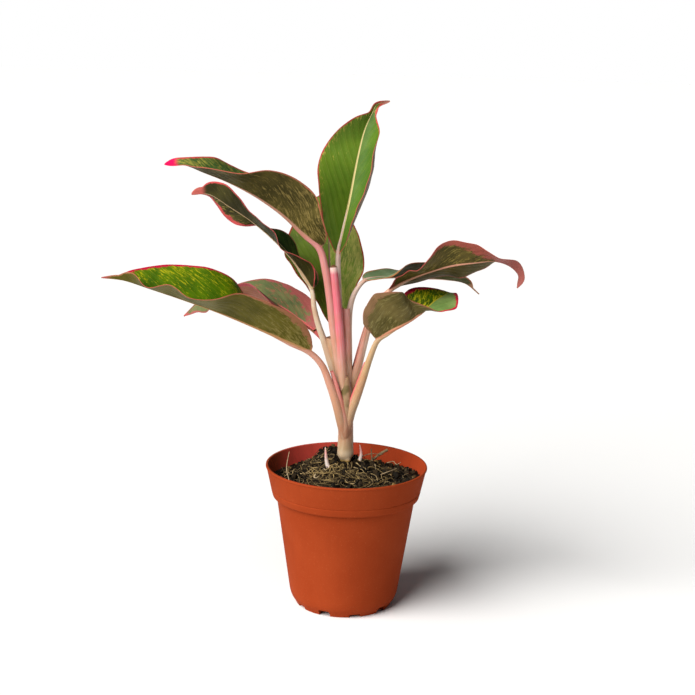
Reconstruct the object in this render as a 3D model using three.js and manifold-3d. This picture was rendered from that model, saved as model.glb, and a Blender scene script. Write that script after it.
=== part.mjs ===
// A potted chinese evergreen: a thin plastic nursery pot filled with soil, one short
// cane, and nine leaves on long clasping stalks. Millimetres, +Z up. The origin is the
// centre of the pot's base, on the surface that it stands on. The pot's axis is +Z,
// and -Y is the side that the plant is looked at from.
import * as THREE from "three";
import { mergeVertices } from "three/addons/utils/BufferGeometryUtils.js";
import Module from "manifold-3d";

const wasm = await Module();
wasm.setup();

// ---------------------------------------------------------------- driving dimensions

const GAP = 0.35; // between pieces that touch

const POT = {
  rimRadius: 52.5,
  height: 93.5,
  wall: 1.1,
  bandBottom: 73, // height where the wide rim band starts
  bandRadius: 47.8, // outer radius of the band at its bottom
  bandLine: 78, // height of the fine step in the band
  bodyRadius: 45.2, // outer radius of the body just under the band
  heelRadius: 35.6, // outer radius of the body where it turns in to the foot
  heelHeight: 9,
  footRadius: 31.5,
  footWidth: 3,
  floor: 2.4, // height of the raised underside
  bossRadius: 12, // the middle of the underside, which touches down
  notches: 10,
  notchPhase: -22, // degrees from the front, towards the right
  notchDepths: [4.2, 2.2],
  notchWidth: 7.5,
  segments: 48,
};

const SOIL = {
  level: 81.5, // height at the wall
  mound: 15, // rise at the cane
  moundWidth: 17,
  moundX: -2,
  moundY: 7,
  heap: 10, // a second heap behind the cane, on the left
  heapX: -11,
  heapY: 31,
  heapWidth: 8,
  sides: [[2.5, -42, 4, 13], [4, 43, 8, 14], [-2.4, 0, -1, 5]], // rise, x, y and width
  lump: 0.5, // height of the low lumps
  rings: 10,
  segments: 40,
};

// The cane stands in the soil. Its stations are heights with the radius there: it tapers
// into the soil, swells just above it and ends inside the sheaths.
const CANE = {
  x: -1,
  y: 6,
  stations: [[68, 2.6], [70, 4.2], [90, 4.7], [96, 5.1], [103, 4.9], [113, 4.4], [122, 4.2],
    [134, 4.2], [142, 4], [146.5, 3.4], [148, 1.6]],
};

const STALK_SIDES = 8;

// A blade's grid has steps along it and a number of strips across each half. It is edge
// thick, and rib thicker again under the base of its midrib.
const BLADE = { steps: 20, across: 4, edge: 0.7, rib: 1.1 };

// A leaf: stalk is the centre line of its stalk from the cane to the blade, and thick is
// the radius at each end. sheath is the centre line of its clasping sheath, with the
// radius at each end in sheathThick. rib is the blade's midrib, and facing is roughly the
// way the blade's upper face looks, which is up if it isn't given. width is the largest
// half width. full and sharp set how round the blade's base and how tapered its tip are,
// end is the share of the midrib where that outline ends, and tip is how strong the thin
// drawn-out tip is. sweep is how far the margin at the base leans towards the tip. left
// and right are the angles, in degrees, at which the two halves rise from flat, at even
// steps from base to tip, as seen from above with the tip away. leftWide and rightWide
// scale the width of a half at even steps. curl is how far the right
// half goes on bending from its rib to its margin.
const LEAVES = {
  lower_left: {
    stalk: [[-1, 6, 104], [-2, 3, 114], [-4.5, 0, 124], [-7.5, -2, 135], [-12, -3, 148],
      [-17, -4, 160], [-24, -5, 169]],
    thick: [3.9, 2],
    sheath: [[-1, 5, 106], [-1.5, 1.5, 117], [-3.5, -0.5, 129], [-7, -2, 144], [-10.5, -2, 156]],
    sheathThick: [3.4, 1.2],
    rib: [[-24, -5, 169], [-31, -7, 172.5], [-44, -10, 179], [-63, -14, 188], [-84, -18, 197],
      [-106, -21, 205], [-124, -23, 211], [-140, -24, 216], [-154, -25, 217.5]],
    width: 29, full: 0.5, sharp: 0.65, tip: 34, sweep: 0.33,
    left: [72, 60, 50, 44, 40, 21, 14, 25, 12, 60, 85],
    right: [20, 12, 10, 25, 45, 51, 50, 48, 44, 38, 30],
  },
  lower_right: {
    stalk: [[-1, 6, 106], [-0.5, 3, 116], [1.5, 1, 127], [5, -1, 138], [9, -2, 151],
      [13, -3, 165], [17, -4, 178]],
    thick: [3.8, 1.8],
    sheath: [[-1, 5, 110], [0, 2, 121], [2.5, 0, 134], [6.3, -1, 148], [10, -1, 162]],
    sheathThick: [3.2, 1.2],
    rib: [[17, -4, 178], [25, -7, 184], [33, -9, 189], [41, -8, 194], [47, -4, 198],
      [54, 2, 203], [60, 10, 205], [64, 20, 205], [67, 28, 203]],
    width: 29, full: 0.45, sharp: 0.9, tip: 20,
    left: [30, 20, 10, 0, -10, 4, 12, 16, 18, 20, 0],
    right: [60, 50, 58, 62, 70, 67, 62, 62, 85, 40, 0, -5, -8, -5, 0, 0, 0, 0, 0, 0, 0],
    rightWide: [1, 1, 1, 1, 1, 1, 1, 0.93, 0.45, 0.35, 0.45, 0.65, 0.8, 0.8, 0.75, 0.7, 0.7, 0.8,
      1, 1, 1],
  },
  upper_left: {
    stalk: [[-5, 2, 151], [-8, 0, 169], [-11, -1, 186], [-13, -2, 202], [-16, -3, 220], [-19, -3, 236]],
    thick: [2.8, 2.3],
    sheath: [[-4, 0, 151], [-6, -1, 175], [-8.5, -2, 200], [-11.5, -2.5, 225]],
    sheathThick: [2.8, 2.3],
    rib: [[-19, -3, 236], [-33, -6, 247.5], [-45, -10, 258.5], [-60, -14, 269], [-76, -18, 277.5],
      [-91, -21, 283.5], [-103, -23, 288], [-115, -25, 288]],
    width: 27, full: 0.5, sharp: 0.8, tip: 56, sweep: 0.12,
    left: [45, 47, 55, 55, 45, 22, 18, 5, -10],
    right: [50, 45, 45, 40, 24, 25, 38, 38, 30],
  },
  upper_right: {
    stalk: [[0, 7, 134], [4, 7, 150], [8, 8, 167], [12, 8, 184], [16.5, 7, 198], [24, 6, 208]],
    thick: [3.4, 1.6],
    sheath: [[1, 7, 140], [5, 7, 157], [8, 7.5, 172], [10.5, 7.5, 184]],
    sheathThick: [3, 1.9],
    rib: [[24, 6, 208], [34, 4, 215], [47, 2, 221], [62, 0, 226], [78, -2, 229],
      [90, -4, 230.5], [100, -5, 227.5], [106, -6, 221], [105, -6, 213.5]],
    facing: [0.7, 0, 1],
    width: 19, full: 0.6, sharp: 0.7, tip: 45,
    left: [10, -10, -15, -20, -33, -18, -5, -5, -20],
    leftWide: [0.4, 0.85, 1, 1, 1, 1, 1, 1, 1, 1, 1],
    right: [20, 10, 14, 12, 14, 8, 15, 27, 47, 56, 58, 53, 45, 37, 24, 14, 22, 42, 53, 58, 60],
    rightWide: [0.35, 0.75, 1, 1, 1, 1, 1, 1, 1, 1, 1],
  },
  mid_right: {
    stalk: [[-1, 6, 138], [-1, 6, 152], [-1, 6, 168], [-1, 7, 185], [0, 8, 197], [3, 9, 206],
      [8, 10, 214]],
    thick: [3.9, 1.3],
    sheath: [[-2, 4, 150], [-2, 4, 168], [-2.6, 5, 186], [-2.8, 5, 196]],
    sheathThick: [2.6, 2.5],
    rib: [[8, 10, 214], [15, 14, 215], [28, 22, 214.5], [45, 31, 212.5], [62, 40, 210.5],
      [76, 47, 207], [86, 51, 199]],
    width: 17, full: 0.5, sharp: 0.7, tip: 10,
    left: [30, 28, 22, 13, 13, 13, 15, 30, 40],
    leftWide: [0.6, 0.6, 0.75, 1, 1, 1],
    right: [0, 8, 36, 44, 48, 46, 30, 25, 30],
  },
  mid_left: {
    stalk: [[-2, 7, 134], [-6, 7, 145], [-11, 6, 158], [-16, 6, 173], [-20, 6, 184],
      [-23, 6, 195], [-24, 6, 208]],
    thick: [3.2, 1.5],
    sheath: [[-3, 7, 140], [-7, 7, 154], [-10, 6.5, 165], [-12, 6, 176.5]],
    sheathThick: [3.2, 3.2],
    rib: [[-24, 6, 208], [-29, 7, 215], [-39, 9, 228.5], [-52.5, 12, 241], [-65.5, 15, 250.5],
      [-78.5, 18, 258], [-91.5, 21, 265], [-103.5, 23, 264.5]],
    width: 16.5, full: 0.5, sharp: 0.6, tip: 16,
    left: [40, 62, 35, 12, 28, 30, 42, 58, 66, 80, 80],
    leftWide: [1, 1, 1, 1, 1, 0.9, 0.65, 1, 1.5, 1.8, 1],
    right: [50, 30, 0, 15, 32, 0, -68, -62, -55, -30, 20],
    rightWide: [1, 1, 1, 0.95, 0.6, 0.3, 0.55, 0.9, 0.9, 1, 1],
  },
  top: {
    stalk: [[-3, 8, 149], [-5, 7, 175], [-7, 6, 198], [-8, 6, 214], [-9, 6, 231]],
    thick: [2.3, 1.6],
    rib: [[-9, 6, 231], [-6, 8, 246], [-2, 12, 266], [2, 16, 289], [6, 20, 307],
      [11, 24, 319], [14, 27, 324], [22, 30, 326]],
    facing: [-0.1, -1, 0.25],
    width: 24.5, full: 1, sharp: 0.9, end: 0.86, tip: 20,
    left: [30, 28, 36, 34, 20, 10, 34, 62, 60],
    right: [30, 25, 20, 12, 5, 5, 10, 10, 10],
    curl: [40, 75, 92, 98, 104, 98, 55, 20, 0],
  },
  low_back_left: {
    stalk: [[-3, 10, 138], [-7, 13, 150], [-10.5, 13, 161], [-15, 12.5, 171], [-22, 12, 179]],
    thick: [2.6, 1.6],
    rib: [[-22, 12, 179], [-32.5, 20, 184.5], [-46, 29, 191.5], [-63.5, 40, 195],
      [-84, 49, 193.5], [-101, 55, 187.5], [-112.5, 58, 177.5]],
    facing: [0, -0.2, 1],
    width: 23, full: 0.6, sharp: 0.8, tip: 38, sweep: 0.3,
    left: [30, 25, 35, 46, 36, 10, -15, -40, -30],
    right: [60, 25, 12, 12, 14, 8, 5, 5, 0],
  },
  back: {
    stalk: [[-2, 10, 138], [-3.5, 13, 148], [-6, 15, 159], [-8, 15.5, 170], [-10.5, 16, 180.5]],
    thick: [2.6, 1.6],
    rib: [[-10.5, 16, 180.5], [-12, 26, 197], [-14, 37, 215], [-15, 47, 230], [-15.5, 57, 245],
      [-14, 65, 260], [-11.5, 70, 271]],
    facing: [0, -1, 0.4],
    width: 30, full: 0.8, sharp: 0.8, tip: 15,
    left: [60, 55, 45, 30, 8, 0, 0, 5, 10],
    right: [50, 40, 45, 38, 42, 49, 56, 60, 60, 50, 40],
  },
};

// Two young shoots and two twigs that stand in the soil, with the radius at each end.
const SHOOTS = {
  shoot_left: { path: [[-7, -6, 82], [-9.9, -5, 89], [-12.7, -3, 95], [-14, -1, 105]], thick: [1.7, 0.5] },
  shoot_right: { path: [[6.6, 5, 86], [7.9, 6, 92], [9.4, 7.5, 98], [8.4, 8, 104.5]], thick: [1.3, 0.4] },
};
const TWIGS = {
  twig_upright: { path: [[20, 8, 80], [18.2, 10, 87], [16.7, 13, 94], [16, 14, 100]], thick: [0.6, 0.4] },
  twig_thick: { path: [[10, 12, 86], [15, 14, 90.5], [22, 18, 95.5], [27, 20, 98]], thick: [0.9, 0.9] },
};

const COLOUR = {
  pot: 0xb84a26,
  soil: 0x2b2016,
  cane: 0xb99a72,
  stalk: 0xd98f85,
  blade: 0x55651f,
  shoot: 0xdcbcae,
  twig: 0x8a7446,
};

// ------------------------------------------------------------------------- helpers

const vec = (p) => new THREE.Vector3(...p);
const radians = THREE.MathUtils.degToRad;

// A value at u, 0 to 1, on a smooth curve through evenly spaced values.
function along(values, u) {
  const last = values.length - 1;
  const t = Math.min(Math.max(u, 0), 1) * last;
  const i = Math.min(Math.floor(t), last - 1);
  const f = t - i;
  const [a, b, c, d] = [i - 1, i, i + 1, i + 2].map((k) => values[Math.min(Math.max(k, 0), last)]);
  return b + 0.5 * f * (c - a + f * (2 * a - 5 * b + 4 * c - d + f * (3 * (b - c) + d - a)));
}

// A closed mesh as a solid that can be joined and cut.
function solidOf(geometry) {
  const bare = geometry.clone();
  bare.deleteAttribute("normal");
  bare.deleteAttribute("uv");
  const merged = mergeVertices(bare, 1e-4);
  return new wasm.Manifold(
    new wasm.Mesh({
      numProp: 3,
      vertProperties: merged.attributes.position.array,
      triVerts: new Uint32Array(merged.index.array),
    }),
  );
}

// The largest body of a solid, as a geometry.
function geometryOf(solid) {
  const bodies = solid.decompose().sort((a, b) => b.volume() - a.volume());
  const mesh = bodies[0].getMesh();
  const geometry = new THREE.BufferGeometry();
  geometry.setAttribute("position", new THREE.BufferAttribute(mesh.vertProperties, 3));
  geometry.setIndex(new THREE.BufferAttribute(mesh.triVerts, 1));
  geometry.computeVertexNormals();
  return geometry;
}

// A closed mesh from rows of points that each run round a section, with flat ends.
function loft(rows) {
  const n = rows[0].length;
  const points = rows.flat();
  const faces = [];
  for (let i = 0; i + 1 < rows.length; i++)
    for (let j = 0; j < n; j++) {
      const a = i * n + j;
      const b = i * n + ((j + 1) % n);
      faces.push(a, b, a + n, b, b + n, a + n);
    }
  const end = (rows.length - 1) * n;
  for (let j = 1; j + 1 < n; j++) {
    faces.push(0, j + 1, j);
    faces.push(end, end + j, end + j + 1);
  }
  const geometry = new THREE.BufferGeometry().setFromPoints(points);
  geometry.setIndex(faces);
  geometry.computeVertexNormals();
  return geometry;
}

// A tube along a smooth curve through path, whose radius eases from the first value of
// thick to the second. Extra makes it larger all round.
function tube(path, thick, extra = 0, steps = 10) {
  const curve = new THREE.CatmullRomCurve3(path.map(vec), false, "catmullrom", 0.5);
  const frames = curve.computeFrenetFrames(steps, false);
  const rows = [];
  for (let i = 0; i <= steps; i++) {
    const u = i / steps;
    const centre = curve.getPointAt(u);
    if (i === 0 || i === steps)
      centre.addScaledVector(frames.tangents[i], i === 0 ? -extra : extra);
    const radius = THREE.MathUtils.lerp(...thick, u) + extra;
    const row = [];
    for (let j = 0; j < STALK_SIDES; j++) {
      const a = (2 * Math.PI * j) / STALK_SIDES;
      row.push(
        centre
          .clone()
          .addScaledVector(frames.normals[i], radius * Math.cos(a))
          .addScaledVector(frames.binormals[i], radius * Math.sin(a)),
      );
    }
    rows.push(row);
  }
  return loft(rows);
}

// ------------------------------------------------------------------------- the pot

function potGeometry() {
  const p = POT;
  const bead = 0.5; // how far the lip's bead stands out
  const lip = p.height - 1.4;
  const step = 0.3; // the fine line's step
  const slope = (p.rimRadius - bead - p.bandRadius) / (lip - p.bandBottom);
  const band = (z) => p.bandRadius + slope * (z - p.bandBottom);
  const inside = p.floor + p.wall + 0.5;
  const profile = [
    [0, 0],
    [p.bossRadius, 0],
    [p.bossRadius + 1, p.floor],
    [p.footRadius - p.footWidth - 0.5, p.floor],
    [p.footRadius - p.footWidth, 0],
    [p.footRadius - 0.4, 0],
    [p.footRadius, 0.5],
    [p.footRadius + 0.5, 1.6],
    [p.footRadius + 2.2, 3.4],
    [p.heelRadius - 0.9, 5.8],
    [p.heelRadius, p.heelHeight],
    [p.bodyRadius, p.bandBottom - 0.2],
    [p.bandRadius - 0.4, p.bandBottom],
    [p.bandRadius, p.bandBottom + 0.5],
    [band(p.bandLine) - step, p.bandLine - 0.15],
    [band(p.bandLine), p.bandLine + 0.15],
    [band(lip), lip],
    [p.rimRadius, lip + 0.3],
    [p.rimRadius, p.height - 0.3],
    [p.rimRadius - 0.3, p.height],
    [p.rimRadius - 1.3, p.height],
    [p.rimRadius - 1.6, p.height - 0.4],
    [p.bandRadius - p.wall, p.bandBottom + 1.8],
    [p.bodyRadius - p.wall, p.bandBottom + 0.4],
    [p.heelRadius - p.wall, p.heelHeight + 0.2],
    [p.heelRadius - p.wall - 1.2, 6.4],
    [p.footRadius - 0.6, inside],
    [0, inside],
  ].map(([r, z]) => new THREE.Vector2(r, z));
  const lathe = new THREE.LatheGeometry(profile, p.segments);
  lathe.rotateX(Math.PI / 2); // the lathe's axis is Y
  let pot = solidOf(lathe);
  for (let k = 0; k < p.notches; k++) {
    const depth = p.notchDepths[k % p.notchDepths.length];
    const cutter = new THREE.BoxGeometry(p.notchWidth, 12, 2 * depth);
    cutter.translate(0, -(p.footRadius + 1), 0);
    cutter.rotateZ(radians(p.notchPhase + (360 * k) / p.notches));
    pot = pot.subtract(solidOf(cutter));
  }
  return geometryOf(pot);
}

// ------------------------------------------------------------------------ the soil

// Height of the soil's top: level, mounded under the cane, heaped behind it on the left,
// raised at either side, hollow at the cane's foot, with lumps made of crossing waves.
function soilTop(x, y) {
  const s = SOIL;
  const hill = (cx, cy, width) => Math.exp(-((x - cx) ** 2 + (y - cy) ** 2) / (2 * width ** 2));
  const mound = s.mound * hill(s.moundX, s.moundY, s.moundWidth);
  const heap = s.heap * hill(s.heapX, s.heapY, s.heapWidth);
  const lumps = Math.sin(x * 0.45 + 1) * Math.cos(y * 0.5) + Math.sin(x * 0.23 - y * 0.31 + 2);
  const sides = s.sides.reduce((sum, [rise, ...place]) => sum + rise * hill(...place), 0);
  return s.level + mound + heap + sides + s.lump * lumps;
}

// Inner radius of the pot's wall at a height above the step under the band.
function wallRadius(z) {
  const p = POT;
  const top = p.rimRadius - 1.6;
  const bottom = p.bandRadius - p.wall;
  return bottom + ((top - bottom) * (z - p.bandBottom - 1.8)) / (p.height - p.bandBottom - 2.2);
}

function soilGeometry(holes) {
  const p = POT;
  const edge = (z) => wallRadius(z) - GAP;
  const rows = [];
  const ring = (radius, height) =>
    Array.from({ length: SOIL.segments }, (_, j) => {
      const a = (2 * Math.PI * j) / SOIL.segments;
      const [x, y] = [radius * Math.cos(a), radius * Math.sin(a)];
      return new THREE.Vector3(x, y, typeof height === "function" ? height(x, y) : height);
    });
  const floor = p.floor + p.wall + 0.5 + GAP;
  rows.push(ring(p.footRadius - 1.4, floor));
  rows.push(ring(p.heelRadius - p.wall - 1.8, p.heelHeight));
  rows.push(ring(p.bodyRadius - p.wall - 1.0, p.bandBottom + 0.4));
  for (let k = 0; k < SOIL.rings; k++) {
    const share = 1 - (k / SOIL.rings) ** 1.15;
    rows.push(ring(edge(SOIL.level - 2) * share, soilTop));
  }
  let soil = solidOf(loft(rows));
  for (const hole of holes) soil = soil.subtract(hole);
  return geometryOf(soil);
}

// ------------------------------------------------------------------------ the cane

// A round section at each of the cane's stations. Extra makes it larger all round.
function caneGeometry(extra = 0) {
  const { x, y, stations } = CANE;
  const sides = 12;
  const rows = stations.map(([z, radius], i) => {
    const end = i === 0 ? -extra : i === stations.length - 1 ? extra : 0;
    return Array.from({ length: sides }, (_, j) => {
      const a = (2 * Math.PI * j) / sides;
      const grown = radius + extra;
      return new THREE.Vector3(x + grown * Math.cos(a), y + grown * Math.sin(a), z + end);
    });
  });
  return loft(rows);
}

// ---------------------------------------------------------------------- the leaves

function stalkSolid(leaf, extra = 0) {
  let solid = solidOf(tube(leaf.stalk, leaf.thick, extra));
  if (leaf.sheath) solid = solid.add(solidOf(tube(leaf.sheath, leaf.sheathThick, extra, 6)));
  return solid;
}

// Half width of a blade at u: a rounded base, a tapered body and a thin drawn-out tip.
function halfWidth(leaf, u) {
  const x = Math.min(u / (leaf.end ?? 0.93), 1);
  const peak = leaf.full / (leaf.full + leaf.sharp);
  const body = leaf.width * (x / peak) ** leaf.full * ((1 - x) / (1 - peak)) ** leaf.sharp;
  const tip = 0.4 + leaf.tip * u ** 2 * (1 - u) ** 0.87;
  const neck = 1.6 * (1 - u) ** 8;
  return (body ** 4 + tip ** 4) ** 0.25 + neck;
}

// Points of the midrib with the side and the way the upper face looks at each of them.
function ribFrames(leaf) {
  const path = leaf.rib.map(vec);
  path[0].addScaledVector(path[1].clone().sub(path[0]).normalize(), GAP + 0.1);
  const curve = new THREE.CatmullRomCurve3(path, false, "catmullrom", 0.5);
  const frames = [];
  for (let i = 0; i <= BLADE.steps; i++) {
    const u = i / BLADE.steps;
    const tangent = curve.getTangentAt(u);
    const up = vec(leaf.facing ?? [0, 0, 1]);
    up.addScaledVector(tangent, -up.dot(tangent)).normalize();
    frames.push({ u, centre: curve.getPointAt(u), tangent, side: tangent.clone().cross(up), up });
  }
  return frames;
}

// The blade's upper face is a grid: at each station each half is an arc that starts at
// its fold angle and bends on by its curl. The lower face is the same grid pushed down
// along its normals, further at the rib, and both are split into triangles alike.
function bladeGeometry(leaf) {
  const { steps, across, edge, rib } = BLADE;
  const frames = ribFrames(leaf);
  const columns = 2 * across + 1;
  const upper = [];
  for (const { u, centre, tangent, side, up } of frames) {
    const whole = halfWidth(leaf, u);
    for (let j = -across; j <= across; j++) {
      const right = j > 0;
      const width = whole * along((right ? leaf.rightWide : leaf.leftWide) ?? [1, 1], u);
      const t = Math.abs(j) / across;
      const fold = radians(along(right ? leaf.right : leaf.left, u));
      const curl = (right && leaf.curl && radians(along(leaf.curl, u))) || 1e-6;
      const out = (width / curl) * (Math.sin(fold + curl * t) - Math.sin(fold));
      const rise = (-width / curl) * (Math.cos(fold + curl * t) - Math.cos(fold));
      const ahead = (leaf.sweep ?? 0) * width * t * t * (1 - u);
      upper.push(
        centre
          .clone()
          .addScaledVector(side, right ? out : -out)
          .addScaledVector(up, rise)
          .addScaledVector(tangent, ahead),
      );
    }
  }
  const grid = [];
  for (let i = 0; i < steps; i++)
    for (let j = 0; j + 1 < columns; j++) {
      const a = i * columns + j;
      const b = a + columns;
      if (j < across) grid.push([a, a + 1, b + 1], [a, b + 1, b]);
      else grid.push([a, a + 1, b], [a + 1, b + 1, b]);
    }
  const face = new THREE.BufferGeometry().setFromPoints(upper).setIndex(grid.flat());
  face.computeVertexNormals();
  const normal = face.attributes.normal;
  const lower = upper.map((p, k) => {
    const u = Math.floor(k / columns) / steps;
    const t = Math.abs((k % columns) - across) / across;
    const depth = edge + rib * (1 - u) * Math.max(0, 1 - 4 * t);
    return p.clone().addScaledVector(vec([normal.getX(k), normal.getY(k), normal.getZ(k)]), -depth);
  });
  const n = upper.length;
  const faces = grid.flat().concat(grid.flatMap(([a, b, c]) => [a + n, c + n, b + n]));
  const outline = [];
  for (let j = 0; j + 1 < columns; j++) outline.push([j + 1, j]);
  for (let i = 0; i < steps; i++) outline.push([i * columns, (i + 1) * columns]);
  for (let j = 0; j + 1 < columns; j++) outline.push([steps * columns + j, steps * columns + j + 1]);
  for (let i = steps; i > 0; i--)
    outline.push([i * columns + columns - 1, (i - 1) * columns + columns - 1]);
  for (const [a, b] of outline) faces.push(a, b, b + n, a, b + n, a + n);
  return new THREE.BufferGeometry().setFromPoints([...upper, ...lower]).setIndex(faces);
}

// ---------------------------------------------------------------------- the assembly

const plant = new THREE.Group();

function add(name, geometry, colour, roughness) {
  const material = new THREE.MeshStandardMaterial({ color: colour, roughness, metalness: 0 });
  const mesh = new THREE.Mesh(geometry, material);
  mesh.name = name;
  plant.add(mesh);
}

add("pot", potGeometry(), COLOUR.pot, 0.55);

const cane = solidOf(caneGeometry());
add("cane", geometryOf(cane), COLOUR.cane, 0.5);

// Each stalk gives way to the cane and to the stalks before it, and each blade stops
// short of the end of its own stalk.
const grownSoFar = [solidOf(caneGeometry(GAP))];
for (const [name, leaf] of Object.entries(LEAVES)) {
  let stalk = stalkSolid(leaf);
  for (const other of grownSoFar) stalk = stalk.subtract(other);
  const grown = stalkSolid(leaf, GAP);
  grownSoFar.push(grown);
  add(`leaf_${name}_stalk`, geometryOf(stalk), COLOUR.stalk, 0.45);
  const blade = solidOf(bladeGeometry(leaf)).subtract(grown);
  add(`leaf_${name}_blade`, geometryOf(blade), COLOUR.blade, 0.4);
}

const holes = [solidOf(caneGeometry(GAP))];
for (const [name, { path, thick }] of Object.entries({ ...SHOOTS, ...TWIGS })) {
  add(name, tube(path, thick, 0, 6), name in TWIGS ? COLOUR.twig : COLOUR.shoot, 0.5);
  holes.push(solidOf(tube(path, thick, GAP, 6)));
}
add("soil", soilGeometry(holes), COLOUR.soil, 1);

export default plant;
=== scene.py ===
"""A potted chinese evergreen: nine mottled leaves with pink margins on clasping stalks,
one short cane, dark peat with its roots, and a terracotta-coloured plastic pot.

Sizes are in millimetres in the frame of the CAD part: the pot's axis is +Z, the surface
it stands on is at height 0, and -Y is the side that the plant is looked at from.
"""

import math

import bpy
import numpy as np
from mathutils import Matrix, Vector


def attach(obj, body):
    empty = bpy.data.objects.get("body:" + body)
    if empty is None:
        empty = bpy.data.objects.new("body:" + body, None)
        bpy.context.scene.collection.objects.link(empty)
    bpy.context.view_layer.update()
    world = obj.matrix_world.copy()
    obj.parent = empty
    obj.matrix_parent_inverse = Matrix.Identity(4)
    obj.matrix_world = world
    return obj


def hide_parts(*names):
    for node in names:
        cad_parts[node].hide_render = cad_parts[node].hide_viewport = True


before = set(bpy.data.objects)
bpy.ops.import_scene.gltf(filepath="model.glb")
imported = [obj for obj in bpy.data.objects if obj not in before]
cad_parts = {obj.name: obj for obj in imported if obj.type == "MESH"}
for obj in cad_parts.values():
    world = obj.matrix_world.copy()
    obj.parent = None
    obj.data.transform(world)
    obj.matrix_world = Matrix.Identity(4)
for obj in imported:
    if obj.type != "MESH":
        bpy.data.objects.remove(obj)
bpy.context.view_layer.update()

MM = 0.001  # metres in a millimetre
TURN = 2 * math.pi
BODY = "root"
UP = (0, 0, 1)

# ------------------------------------------------------------------ driving dimensions

POT = {
    "rim_radius": 52.5,
    "height": 93.5,
    "lip_height": 1.4,
    "lip_wall": 1.5,
    "wall": 1.1,
    "band_bottom": 73,
    "band_radius": 47.8,
    "band_line": 78,
    "ledge": 74.8,
    "body_radius": 45.2,
    "heel_radius": 35.6,
    "heel_height": 9,
    "foot_radius": 31.5,
    "foot_width": 3,
    "floor": 2.4,
    "boss_radius": 12,
    "notches": 10,
    "notch_phase": -22,
    "notch_depths": [4.2, 2.2],
    "notch_width": 7.5,
    "notch_round": 0.9,
}

# The mound, the heap and the swells of the soil are given as height, x, y and width.
SOIL = {
    "level": 81.5,
    "mound": (15, -2, 7, 17),
    "heap": (10, -11, 31, 8),
    "swells": ((2.5, -42, 4, 13), (4, 43, 8, 14), (-2.4, 0, -1, 5)),
    "lump": 0.5,
    "crumbs": 1050,
    "roots": 56,
    "fibres": 300,
}

# The cane's stations are height and radius. Its foot narrows by a radius between two
# heights. swelling gives a radius, its height and its width, and knob also its angle and
# how wide an angle it takes. scar is the radius and width of the ring at each of the scars.
# The collar is the foot of an old leaf.
CANE = {
    "x": -1,
    "y": 6,
    "stations": [
        (68, 2.6), (70, 4.2), (90, 4.7), (96, 5.1), (103, 5.1), (113, 5), (122, 4.6),
        (134, 4.2), (142, 4), (146.5, 3.4), (148, 1.6),
    ],
    "foot": (1.9, 98.5, 93.5),
    "swelling": (0.35, 99.5, 2.6),
    "knob": (1.9, 94.8, 1.9, 5.25, 0.45),
    "scars": (104, 110.5),
    "scar": (0.08, 0.5),
    "collar": [(-1, 5, 112), (-1.2, 2.6, 124), (-1.6, 1.2, 136), (-2, 0.6, 146), (-2.4, 0.4, 153)],
}

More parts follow.
